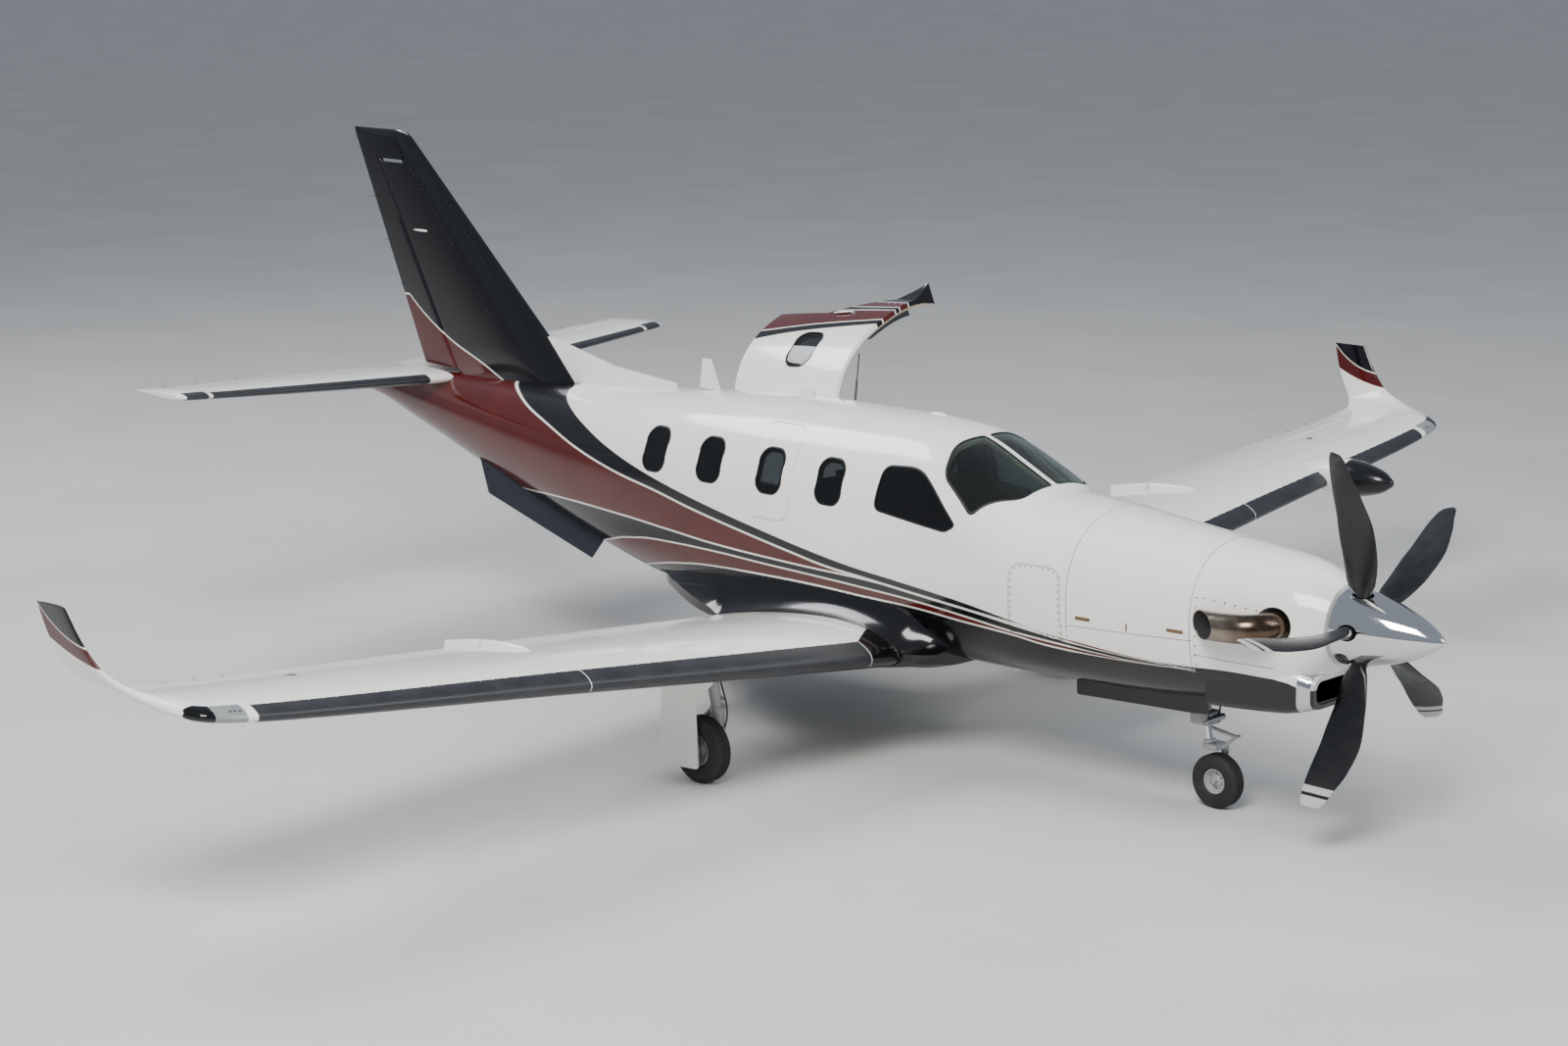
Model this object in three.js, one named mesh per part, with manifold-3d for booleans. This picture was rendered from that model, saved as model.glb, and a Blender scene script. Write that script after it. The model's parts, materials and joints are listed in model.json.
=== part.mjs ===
// A single-engine turboprop light aircraft with retractable gear, parked on its wheels with its entry door open.
// Millimetres, +X towards the nose, +Y to the left (port) side, +Z up. The origin is on the ground, under the
// middle of the aircraft's box. A station is a distance aft of the spinner's tip, as on a builder's drawing.
import * as THREE from "three";
import { mergeVertices } from "three/addons/utils/BufferGeometryUtils.js";
import Module from "manifold-3d";

const wasm = await Module();
wasm.setup();

// Driving dimensions
const LENGTH = 10745;
const THRUST_Z = 1386;
const GAP = 0.4;
const WALL = 55;
const FIREWALL = 2620;
const BULKHEAD = 7300;
const CABIN_FRONT = 2720;
const FLOOR_Z = 960;
const WING_ROOT_Y = 760;
const PROP_STATION = 620;
const PROP_RADIUS = 1155;
const BLADES = 5;
const FIRST_BLADE_DEG = 14.4;
const MAIN_WHEEL = { station: 4585, y: 1885, radius: 229, width: 146, rim: 108 };
const NOSE_WHEEL = { station: 1695, y: 0, radius: 181, width: 126, rim: 68 };
const DOOR = { front: 5490, rear: 6575, hingeY: 350, hingeFrontZ: 2202, hingeRearZ: 2158, openDeg: 110.5 };

const at = (station) => LENGTH / 2 - station;
const rad = (degrees) => (degrees * Math.PI) / 180;

// Paint and material finishes
const finish = (color, roughness, metalness) => new THREE.MeshStandardMaterial({ color, roughness, metalness });
const WHITE = finish(0xf1f0ea, 0.25, 0);
const BLACK = finish(0x1b1c20, 0.3, 0);
const RED = finish(0x5b1f1b, 0.3, 0);
const GLASS = finish(0x2a3138, 0.08, 0);
const CHROME = finish(0xcfd3d8, 0.12, 1);
const STEEL = finish(0x9c8a76, 0.3, 1);
const BLADE = finish(0x2b2b2c, 0.5, 0);
const RUBBER = finish(0x1c1c1c, 0.85, 0);
const ALLOY = finish(0x9a9c9e, 0.4, 0.9);
const GEAR_GREY = finish(0xb9bcbd, 0.45, 0.2);
const LEATHER = finish(0xb9a88c, 0.6, 0);
const PANEL = finish(0x2e2f31, 0.7, 0);

// Turns a three.js geometry into a solid, and a solid back into a named mesh
function solid(geometry) {
  const bare = geometry.index ? geometry.toNonIndexed() : geometry.clone();
  bare.deleteAttribute("normal");
  bare.deleteAttribute("uv");
  const merged = mergeVertices(bare, 1e-3);
  const made = new wasm.Manifold(
    new wasm.Mesh({
      numProp: 3,
      vertProperties: merged.attributes.position.array,
      triVerts: new Uint32Array(merged.index.array),
    }),
  );
  if (made.volume() > 0) return made;
  const turned = new Uint32Array(merged.index.array);
  for (let i = 0; i < turned.length; i += 3) [turned[i + 1], turned[i + 2]] = [turned[i + 2], turned[i + 1]];
  return new wasm.Manifold(
    new wasm.Mesh({ numProp: 3, vertProperties: merged.attributes.position.array, triVerts: turned }),
  );
}

const aircraft = new THREE.Group();

function node(name, body, material) {
  const mesh = body.getMesh();
  const geometry = new THREE.BufferGeometry();
  const points = new Float32Array(mesh.numVert * 3);
  for (let i = 0; i < mesh.numVert; i++) {
    points.set(mesh.vertProperties.subarray(i * mesh.numProp, i * mesh.numProp + 3), i * 3);
  }
  geometry.setAttribute("position", new THREE.BufferAttribute(points, 3));
  geometry.setIndex(new THREE.BufferAttribute(mesh.triVerts, 1));
  geometry.computeVertexNormals();
  const made = new THREE.Mesh(geometry, material);
  made.name = name;
  aircraft.add(made);
}

const join = (...bodies) => bodies.reduce((whole, one) => whole.add(one));
const mirrorY = (body) => body.scale([1, -1, 1]);

// A box between two corners
function box(x0, x1, y0, y1, z0, z1) {
  const shape = new THREE.BoxGeometry(Math.abs(x1 - x0), Math.abs(y1 - y0), Math.abs(z1 - z0));
  shape.translate((x0 + x1) / 2, (y0 + y1) / 2, (z0 + z1) / 2);
  return solid(shape);
}

// A round bar between two points, its radius the same or tapering
function bar(from, to, radius, endRadius = radius, sides = 12) {
  const a = new THREE.Vector3(...from);
  const b = new THREE.Vector3(...to);
  const shape = new THREE.CylinderGeometry(endRadius, radius, a.distanceTo(b), sides);
  const turn = new THREE.Quaternion().setFromUnitVectors(
    new THREE.Vector3(0, 1, 0),
    b.clone().sub(a).normalize(),
  );
  shape.applyQuaternion(turn);
  shape.translate((a.x + b.x) / 2, (a.y + b.y) / 2, (a.z + b.z) / 2);
  return solid(shape);
}

// A closed skin over rings of points, each ring having the same number of points
function loft(rings) {
  const count = rings[0].length;
  const points = rings.flat();
  const faces = [];
  for (let r = 0; r + 1 < rings.length; r++) {
    for (let k = 0; k < count; k++) {
      const a = r * count + k;
      const b = r * count + ((k + 1) % count);
      faces.push(a, b, a + count, b, b + count, a + count);
    }
  }
  for (const [ring, first] of [[rings[0], 0], [rings[rings.length - 1], (rings.length - 1) * count]]) {
    const middle = ring.reduce((sum, p) => sum.add(p), new THREE.Vector3()).divideScalar(count);
    points.push(middle);
    const hub = points.length - 1;
    for (let k = 0; k < count; k++) {
      const [a, b] = [first + k, first + ((k + 1) % count)];
      faces.push(...(first === 0 ? [hub, b, a] : [hub, a, b]));
    }
  }
  const shape = new THREE.BufferGeometry().setFromPoints(points);
  shape.setIndex(faces);
  return solid(shape);
}

// A flat outline given as [u, v] pairs, extruded by depth and placed by a matrix of its three directions
function plate(outline, depth, uAxis, vAxis, origin) {
  const shape = new THREE.Shape(outline.map(([u, v]) => new THREE.Vector2(u, v)));
  const geometry = new THREE.ExtrudeGeometry(shape, { depth, bevelEnabled: false, curveSegments: 6 });
  const u = new THREE.Vector3(...uAxis);
  const v = new THREE.Vector3(...vAxis);
  const w = new THREE.Vector3().crossVectors(u, v);
  geometry.applyMatrix4(new THREE.Matrix4().makeBasis(u, v, w).setPosition(...origin));
  return solid(geometry);
}

// Reads a table of rows, whose first number rises, with smooth slopes that never overshoot
function smooth(rows, value) {
  const last = rows.length - 1;
  if (value <= rows[0][0]) return rows[0].slice(1);
  if (value >= rows[last][0]) return rows[last].slice(1);
  let i = 0;
  while (rows[i + 1][0] < value) i++;
  const slopeBetween = (a, c) => (rows[a + 1][c] - rows[a][c]) / (rows[a + 1][0] - rows[a][0]);
  const slopeAt = (a, c) => {
    if (a === 0) return slopeBetween(0, c);
    if (a === last) return slopeBetween(last - 1, c);
    const [before, after] = [slopeBetween(a - 1, c), slopeBetween(a, c)];
    return before * after <= 0 ? 0 : (2 * before * after) / (before + after);
  };
  const span = rows[i + 1][0] - rows[i][0];
  const t = (value - rows[i][0]) / span;
  return rows[i].slice(1).map((_, k) => {
    const c = k + 1;
    return (
      (2 * t ** 3 - 3 * t ** 2 + 1) * rows[i][c] +
      (t ** 3 - 2 * t ** 2 + t) * span * slopeAt(i, c) +
      (-2 * t ** 3 + 3 * t ** 2) * rows[i + 1][c] +
      (t ** 3 - t ** 2) * span * slopeAt(i + 1, c)
    );
  });
}

// Fuselage sections: station, top z, bottom z, half width, z of the widest point, roundness above, roundness below
const SECTIONS = [
  [705, 1652, 1125, 262, 1386, 2.0, 2.0],
  [860, 1722, 960, 335, 1380, 2.05, 2.1],
  [1050, 1768, 838, 392, 1370, 2.1, 2.3],
  [1500, 1806, 768, 470, 1345, 2.15, 2.5],
  [2100, 1856, 724, 548, 1345, 2.2, 2.6],
  [2720, 1905, 698, 606, 1360, 2.25, 2.6],
  [3000, 1918, 690, 626, 1380, 2.3, 2.6],
  [3060, 1940, 688, 629, 1385, 2.35, 2.6],
  [3330, 2064, 684, 640, 1410, 2.6, 2.6],
  [3640, 2200, 680, 650, 1440, 2.6, 2.6],
  [3900, 2266, 678, 655, 1465, 2.45, 2.6],
  [4300, 2296, 676, 658, 1480, 2.35, 2.6],
  [5400, 2290, 680, 658, 1480, 2.3, 2.6],
  [6100, 2255, 720, 652, 1490, 2.3, 2.5],
  [6700, 2205, 800, 618, 1510, 2.3, 2.4],
  [7450, 2150, 955, 536, 1560, 2.25, 2.3],
  [8200, 2105, 1135, 430, 1640, 2.2, 2.2],
  [9000, 2068, 1350, 310, 1730, 2.1, 2.1],
  [9800, 2026, 1580, 185, 1810, 2.0, 2.0],
  [10500, 1960, 1770, 80, 1865, 2.0, 2.0],
  [LENGTH, 1925, 1800, 48, 1865, 2.0, 2.0],
];
const RING_POINTS = 30;

function ring(station, inset = 0, floor = -Infinity) {
  const [top, bottom, half, wide, upper, lower] = smooth(SECTIONS, station);
  return Array.from({ length: RING_POINTS }, (_, k) => {
    const angle = (2 * Math.PI * k) / RING_POINTS;
    const [c, s] = [Math.cos(angle), Math.sin(angle)];
    const power = 2 / (s >= 0 ? upper : lower);
    const height = s >= 0 ? top - wide : wide - bottom;
    const y = (half - inset) * Math.sign(c) * Math.abs(c) ** power;
    const z = wide + (height - inset) * Math.sign(s) * Math.abs(s) ** power;
    return new THREE.Vector3(at(station), y, Math.max(z, floor));
  });
}

const between = (from, to) => [
  from,
  ...SECTIONS.map((row) => row[0]).filter((s) => s > from + 20 && s < to - 20),
  to,
];
const hull = (from, to, inset = 0, floor) =>
  loft(between(from, to).map((station) => ring(station, inset, floor)));

// A four-digit style wing profile as [chord share, height share] pairs, from the tail over the top to the nose and back
function profile(thickness, camber, steps = 9) {
  const half = (x) =>
    5 * thickness * (0.2969 * Math.sqrt(x) - 0.126 * x - 0.3516 * x ** 2 + 0.2843 * x ** 3 - 0.1036 * x ** 4);
  const line = (x) => (x < 0.4 ? (camber / 0.16) * (0.8 * x - x * x) : (camber / 0.36) * (0.2 + 0.8 * x - x * x));
  const shares = Array.from({ length: steps + 1 }, (_, k) => (1 - Math.cos((Math.PI * k) / steps)) / 2);
  const blunt = 0.0016;
  const over = shares.map((x) => [x, line(x) + half(x) + blunt]).reverse();
  const under = shares.slice(1).map((x) => [x, line(x) - half(x) - blunt]);
  return [...over, ...under];
}

// Wing sections: span, leading edge station, leading edge z, chord, thickness share, cant of the section in degrees
const WING = [
  [0, 3790, 690, 1880, 0.16, 0],
  [WING_ROOT_Y, 3826, 776, 1800, 0.155, 0],
  [3400, 3958, 1077, 1415, 0.145, 0],
  [5850, 4080, 1356, 1045, 0.125, 0],
  [6080, 4130, 1390, 990, 0.115, 6],
  [6190, 4250, 1418, 850, 0.11, 20],
  [6290, 4560, 1490, 590, 0.1, 42],
  [6342, 4800, 1580, 430, 0.095, 62],
  [6376, 4960, 1740, 360, 0.09, 74],
  [6402, 5080, 1930, 300, 0.085, 78],
];
const WING_CAMBER = 0.018;

function wingRing(row, grow = 0) {
  const [y, station, z, chord, thickness, cant] = row;
  const [c, s] = [Math.cos(rad(cant)), Math.sin(rad(cant))];
  return profile(thickness, WING_CAMBER).map(([x, h]) => {
    const lift = h * chord + Math.sign(h) * grow;
    return new THREE.Vector3(at(station + x * chord), y - lift * s, z + lift * c);
  });
}
const wingLoft = (from, grow = 0) => {
  const rows = WING.filter((row) => row[0] > from);
  const first = [from, ...smooth(WING, from)];
  return loft([first, ...rows].map((row) => wingRing(row, grow)));
};

// A control surface is what lies behind a hinge line. Its nose is round about the hinge, its ends are square to it.
// A grow of 0 gives the surface's own cutter, and a positive grow the wider pocket around it.
const wingAt = (y) => smooth(WING, y);
const profileHalf = (thickness, x) => profile(thickness, 0, 40).reduce((best, p) => {
  return Math.abs(p[0] - x) < Math.abs(best[0] - x) ? p : best;
})[1];
function hingeFrame(low, high) {
  const a = new THREE.Vector3(...high).sub(new THREE.Vector3(...low)).normalize();
  const f = new THREE.Vector3(1, 0, 0).addScaledVector(a, -a.x).normalize();
  const n = new THREE.Vector3().crossVectors(a, f);
  return { a, f, n, low: new THREE.Vector3(...low), high: new THREE.Vector3(...high) };
}
function behindHinge(low, high, grow, ends = [grow, grow], round = null) {
  const { a, f, n, low: p, high: q } = hingeFrame(low, high);
  const ring4 = (base, shift) => {
    const start = base.clone().addScaledVector(a, shift);
    return [[round ? 0 : grow, 500], [round ? 0 : grow, -500], [-1600, -500], [-1600, 500]].map(([u, v]) =>
      start.clone().addScaledVector(f, u).addScaledVector(n, v),
    );
  };
  const block = loft([ring4(p, -ends[0]), ring4(q, ends[1])]);
  if (!round) return block;
  const from = p.clone().addScaledVector(a, -ends[0]).toArray();
  const to = q.clone().addScaledVector(a, ends[1]).toArray();
  return block.add(bar(from, to, round[0] + grow, round[1] + grow, 24));
}
const FLAP = { from: WING_ROOT_Y + 70, to: 4890, share: 0.74, gap: 14 };
const AILERON = { from: 4985, to: 5840, share: 0.76, gap: 11 };
// A flap hangs on its lower edge and an aileron on the middle of its nose
function wingHinge({ from, to, share }, height) {
  return [from, to].map((y) => {
    const [station, z, chord, thickness] = wingAt(y);
    const half = profileHalf(thickness, share) * chord;
    const middle = z + 0.012 * chord;
    return { point: [at(station + share * chord), y, middle + height * half], half };
  });
}
const flapHinge = wingHinge(FLAP, -1);
const aileronHinge = wingHinge(AILERON, 0);
const flapCut = (grow) => behindHinge(flapHinge[0].point, flapHinge[1].point, grow, [grow, grow]);
const aileronCut = (grow) =>
  behindHinge(
    aileronHinge[0].point,
    aileronHinge[1].point,
    grow,
    [grow, grow],
    aileronHinge.map((end) => end.half),
  );

// Hinge lugs: round plates about a hinge line, on arms from the fixed piece, and the slots that they need
function hingeLugs([low, high], shares, radius, reach, arm, width = 14) {
  const { a, f, n } = hingeFrame(low.point, high.point);
  const [p, q] = [low.point, high.point].map((v) => new THREE.Vector3(...v));
  const arc = (r, from) =>
    Array.from({ length: 9 }, (_, k) => {
      const angle = rad(from + ((360 - 2 * from) * k) / 8);
      return [r * Math.cos(angle), r * Math.sin(angle)];
    });
  const placed = (outline, share, thick) => {
    const start = p.clone().lerp(q, share).addScaledVector(a, -thick / 2);
    return plate(outline, thick, f.toArray(), n.toArray(), start.toArray());
  };
  const lug = [[reach, arm], ...arc(radius, 50), [reach, -arm]];
  const slot = [[400, 400], [0, 400], ...arc(radius + 1, 90), [0, -400], [400, -400]];
  return {
    lugs: join(...shares.map((share) => placed(lug, share, width))),
    slots: join(...shares.map((share) => placed(slot, share, width + 2 * GAP))),
  };
}
const FLAP_LUGS = hingeLugs(flapHinge, [0.08, 0.5, 0.92], 26, 34, 20);
const AILERON_LUGS = hingeLugs(aileronHinge, [0.15, 0.85], 14, 64, 8);

// Heights of a wing's upper and lower surface at a span and a station
function wingSurface(y, station) {
  const [front, z, chord, thickness] = wingAt(y);
  const share = (station - front) / chord;
  const near = (p, q) => (Math.abs(q[0] - share) < Math.abs(p[0] - share) ? q : p);
  const points = profile(thickness, WING_CAMBER, 60);
  const over = points.slice(0, 61).reduce(near)[1];
  const under = points.slice(61).reduce(near)[1];
  return [z + over * chord, z + under * chord];
}

// The leg bay in a wing's underside, open below
const BAY = { front: 4300, rear: 4880, inner: 800, outer: 1972, top: 905 };
const bay = box(at(BAY.rear), at(BAY.front), BAY.inner, BAY.outer, 400, BAY.top);

// A round-topped fairing along the upper surface, in a stretch on the wing and a stretch on the flap
const STREAK = { y: 3400, sink: 40 };
const streak = (rows) =>
  loft(
    rows.map(([station, half, rise]) => {
      const [top] = wingSurface(STREAK.y, station);
      return [0, 36, 72, 108, 144, 180].map((degrees) => {
        const [c, s] = [Math.cos(rad(degrees)), Math.sin(rad(degrees))];
        return new THREE.Vector3(at(station), STREAK.y + half * c, top + (s > 0.01 ? rise * s : -STREAK.sink));
      });
    }),
  );
const streakOnWing = streak([
  [4540, 6, 4],
  [4600, 19, 18],
  [4700, 26, 30],
  [4860, 30, 42],
  [4985, 31, 48],
]);
const streakOnFlap = streak([
  [5022, 31, 50],
  [5200, 29, 52],
  [5385, 24, 54],
]);

function wing(side) {
  const whole = wingLoft(WING_ROOT_Y + GAP);
  const flap = whole.intersect(flapCut(0)).add(streakOnFlap).subtract(FLAP_LUGS.slots);
  const aileron = whole.intersect(aileronCut(0)).subtract(AILERON_LUGS.slots);
  const main = whole
    .subtract(flapCut(FLAP.gap))
    .subtract(aileronCut(AILERON.gap))
    .subtract(bay)
    .add(streakOnWing)
    .add(FLAP_LUGS.lugs)
    .add(AILERON_LUGS.lugs);
  const place = side === "left" ? (body) => body : mirrorY;
  return { main: place(main), flap: place(flap), aileron: place(aileron) };
}

// Weather radar pod on the left wing's leading edge
const POD = { y: 4520, z: 1225, nose: 3470, radius: 148, length: 1000 };
const pod = (() => {
  const outline = [
    [0, 0],
    [0.03, 0.4],
    [0.1, 0.7],
    [0.22, 0.93],
    [0.34, 1],
    [0.6, 0.93],
    [0.82, 0.6],
    [0.94, 0.26],
    [1, 0],
  ].map(([along, r]) => new THREE.Vector2(r * POD.radius, along * POD.length));
  const shape = new THREE.LatheGeometry(outline, 16);
  shape.rotateZ(Math.PI / 2);
  shape.translate(at(POD.nose), POD.y, POD.z);
  return solid(shape);
})();

// Wings, flaps and ailerons
const wings = { left: wing("left"), right: wing("right") };
node("wing_right", wings.right.main, WHITE);
node("wing_left", wings.left.main.add(pod), WHITE);
for (const side of ["right", "left"]) {
  node(`flap_${side}`, wings[side].flap, WHITE);
  node(`aileron_${side}`, wings[side].aileron, WHITE);
}

// Rectangular opening with round corners, cut square through a side wall: centre station, centre z, width, height
function opening(station, z, width, height, radius, side, depth = [250, 900], lean = 0) {
  const [w, h, r] = [width / 2, height / 2, radius];
  const shape = new THREE.Shape();
  shape.moveTo(-w + r, -h);
  shape.lineTo(w - r, -h);
  shape.absarc(w - r, -h + r, r, -Math.PI / 2, 0);
  shape.absarc(w - r, h - r, r, 0, Math.PI / 2);
  shape.absarc(-w + r, h - r, r, Math.PI / 2, Math.PI);
  shape.absarc(-w + r, -h + r, r, Math.PI, 1.5 * Math.PI);
  const cut = new THREE.ExtrudeGeometry(shape, { depth: depth[1] - depth[0], bevelEnabled: false, curveSegments: 3 });
  cut.rotateZ(lean);
  cut.rotateX(Math.PI / 2);
  cut.translate(at(station), depth[1], z);
  const made = solid(cut);
  return side === "left" ? made : mirrorY(made);
}

// An opening drawn by corners as [station, z] pairs, cut through a side wall
function cornered(corners, side, depth = [250, 900]) {
  const made = plate(
    corners.map(([station, z]) => [at(station), z]),
    depth[1] - depth[0],
    [1, 0, 0],
    [0, 0, 1],
    [0, depth[1], 0],
  );
  return side === "left" ? made : mirrorY(made);
}
const grown = (corners, by) => {
  const [cs, cz] = [0, 1].map((i) => corners.reduce((sum, p) => sum + p[i], 0) / corners.length);
  return corners.map(([s, z]) => {
    const reach = Math.hypot(s - cs, z - cz);
    return [cs + ((s - cs) * (reach + by)) / reach, cz + ((z - cz) * (reach + by)) / reach];
  });
};

// Windows: cabin windows are one size, at these stations
const CABIN_WINDOW = { width: 252, height: 316, radius: 92, z: 1862 };
const DOOR_WINDOW_STATION = 5990;
const WINDOW_STATIONS = { 1: 6425, 2: 5825, 3: 5220, 4: 4617 };
const COCKPIT_WINDOW = [
  [4150, 2030],
  [3850, 2050],
  [3700, 1960],
  [3440, 1720],
  [3520, 1668],
  [4170, 1735],
];
const HATCH = { station: 5206, z: 1850, width: 440, height: 640, radius: 105 };
const PANE_SEAT = 6;

// Windscreen: two panes in a steep plane either side of a centre post, seen square from above-ahead
const SCREEN = [
  [3095, 26],
  [3095, 330],
  [3335, 575],
  [3640, 505],
  [3725, 300],
  [3700, 26],
];
function screenCut(by, side) {
  const sign = side === "left" ? 1 : -1;
  const middle = SCREEN.reduce((sum, [s, y]) => [sum[0] + s / 6, sum[1] + y / 6], [0, 0]);
  const outline = SCREEN.map(([s, y]) => {
    const reach = Math.hypot(s - middle[0], y - middle[1]);
    const k = (reach + by) / reach;
    return [at(middle[0] + (s - middle[0]) * k), sign * (middle[1] + (y - middle[1]) * k)];
  });
  return plate(outline, 900, [1, 0, 0], [0, 1, 0], [0, 0, 1600]);
}

// Cabin shell with its window, door and hatch openings, belly fairing and wing stubs
// The doorway is cut down to a sill that slopes down to a corner at its front, over the wing's fairing
const DOOR_SILL = [
  [DOOR.front, 905],
  [6100, 1420],
  [DOOR.rear, 1430],
];
function doorCut(clear, hingeClear) {
  const [front, middle, rear] = DOOR_SILL;
  const outline = [
    [front[0] - clear, 2500],
    [front[0] - clear, front[1] - 2 * clear],
    [middle[0] + clear * 0.4, middle[1] - clear],
    [rear[0] + clear, rear[1] - clear],
    [rear[0] + clear, 2500],
  ];
  return plate(
    outline.map(([station, z]) => [at(station), z]),
    900 - DOOR.hingeY + hingeClear,
    [1, 0, 0],
    [0, 0, 1],
    [0, 900, 0],
  );
}

// Belly fairing: station, outer edge's y, its top and bottom z (0 follows the wing), z where it meets the side,
// bottom z
const FAIRING = [
  [3620, 600, 800, 770, 840, 690],
  [3700, 712, 806, 756, 920, 676],
  [3790, 752, 806, 752, 985, 670],
  [3880, WING_ROOT_Y, 0, 0, 1065, 665],
  [4060, WING_ROOT_Y, 0, 0, 1105, 660],
  [4400, WING_ROOT_Y, 0, 0, 1120, 655],
  [4900, WING_ROOT_Y, 0, 0, 1118, 656],
  [5350, WING_ROOT_Y, 0, 0, 1108, 666],
  [5600, WING_ROOT_Y, 0, 0, 1090, 684],
  [5720, 738, 822, 768, 1072, 694],
  [5860, 700, 836, 772, 1048, 702],
  [6000, 655, 852, 786, 1020, 712],
  [6150, 600, 872, 806, 990, 726],
  [6300, 540, 892, 834, 955, 748],
  [6450, 470, 906, 862, 925, 775],
  [6560, 380, 905, 890, 915, 812],
];
const FAIRING_SINK = 40;
// Height of the roof over a distance from the middle
function sideHeight(station, y) {
  const [top, , half, wide, upper] = smooth(SECTIONS, station);
  return wide + (top - wide) * (1 - (y / half) ** upper) ** (1 / upper);
}
// Half width of the bare fuselage at a height
function sideAt(station, z) {
  const [top, bottom, half, wide, upper, lower] = smooth(SECTIONS, station);
  const [reach, power] = z > wide ? [(z - wide) / (top - wide), upper] : [(wide - z) / (wide - bottom), lower];
  return half * Math.max(0, 1 - Math.abs(reach) ** power) ** (1 / power);
}
const fairing = loft(
  FAIRING.map(([station, outer, top, bottom, meets, belly]) => {
    const [over, under] = wingSurface(WING_ROOT_Y, station);
    const edge = [outer, top || over + 4];
    const start = [sideAt(station, meets) + 1, meets];
    const bend = [start[0] + 14, edge[1] + 0.32 * (meets - edge[1])];
    const fillet = [0, 0.25, 0.5, 0.75, 1].map((t) =>
      [0, 1].map((i) => (1 - t) ** 2 * start[i] + 2 * t * (1 - t) * bend[i] + t ** 2 * edge[i]),
    );
    const side = [
      [sideAt(station, meets) - FAIRING_SINK, meets],
      ...fillet,
      [outer, bottom || under - 4],
      [outer * 0.72, belly + 14],
      [outer * 0.36, belly],
    ];
    const other = side.map(([y, z]) => [-y, z]).reverse();
    return [...side, ...other].map(([y, z]) => new THREE.Vector3(at(station), y, z));
  }),
);
const cabinWindows = (by, depth) =>
  Object.entries(WINDOW_STATIONS).flatMap(([id, station]) => {
    const { width, height, radius, z } = CABIN_WINDOW;
    const make = (side) => [
      `${side}_${id}`,
      opening(station, z, width + 2 * by, height + 2 * by, radius + by, side, depth),
    ];
    return id === "1" ? [make("right")] : id === "2" ? [make("right")] : [make("right"), make("left")];
  });

const outer = hull(CABIN_FRONT, BULKHEAD).add(fairing);
const innerFrom = CABIN_FRONT + WALL;
const innerTo = BULKHEAD - WALL;
const inner = hull(innerFrom, innerTo, WALL, FLOOR_Z);
const underFloor = hull(CABIN_FRONT - 20, innerTo, 30).intersect(box(at(3700), at(2600), -900, 900, 500, FLOOR_Z - 40));
const skin = hull(CABIN_FRONT + 1, BULKHEAD - 1).add(fairing).subtract(hull(innerFrom, innerTo, WALL));
const hatchCut = (by) =>
  opening(HATCH.station, HATCH.z, HATCH.width + 2 * by, HATCH.height + 2 * by, HATCH.radius + by, "right");
let cabin = outer.subtract(inner).subtract(underFloor).subtract(doorCut(6, 14)).subtract(hatchCut(4));
for (const side of ["left", "right"]) {
  cabin = cabin.subtract(cornered(COCKPIT_WINDOW, side)).subtract(screenCut(0, side));
}
for (const [, cut] of cabinWindows(0)) cabin = cabin.subtract(cut);
// The door swings up about this axis. As it stands open, it is turned by this matrix.
const hingeMiddle = [at((DOOR.front + DOOR.rear) / 2), DOOR.hingeY, (DOOR.hingeFrontZ + DOOR.hingeRearZ) / 2];
const hingeAxis = new THREE.Vector3(DOOR.rear - DOOR.front, 0, DOOR.hingeFrontZ - DOOR.hingeRearZ).normalize();
const swung = new THREE.Matrix4()
  .makeTranslation(...hingeMiddle)
  .multiply(new THREE.Matrix4().makeRotationAxis(hingeAxis, rad(DOOR.openDeg)))
  .multiply(new THREE.Matrix4().makeTranslation(...hingeMiddle.map((v) => -v)));

// Door hinges: a middle knuckle on the roof between two on the door, all about the hinge axis
const KNUCKLE = { stations: [5720, 6340], length: 44, radius: 10, arm: 26, room: 1.2 };
function knuckles(onDoor, room = 0) {
  const pieces = KNUCKLE.stations.flatMap((station) => {
    const half = KNUCKLE.length / 2 + room;
    const inner = KNUCKLE.length / 2 + GAP - room;
    const outer = half + 26;
    const spans = onDoor ? [[inner, outer], [-outer, -inner]] : [[-half, half]];
    return spans.map(([from, to]) => {
      const along = (by) =>
        new THREE.Vector3(...hingeMiddle)
          .addScaledVector(hingeAxis, (at(station) - hingeMiddle[0]) / hingeAxis.x + by)
          .toArray();
      const [p, q] = [along(from), along(to)];
      const skinZ = sideHeight(station, DOOR.hingeY);
      const reach = onDoor ? [p[1] + 1, p[1] + KNUCKLE.arm] : [p[1] - KNUCKLE.arm, p[1] - 1];
      if (room > 0) return bar(p, q, KNUCKLE.radius + room, KNUCKLE.radius + room, 24);
      return bar(p, q, KNUCKLE.radius, KNUCKLE.radius, 16).add(box(p[0] + 2, q[0] - 2, ...reach, skinZ - KNUCKLE.arm, p[2] - 1));
    });
  });
  return join(...pieces);
}

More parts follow.
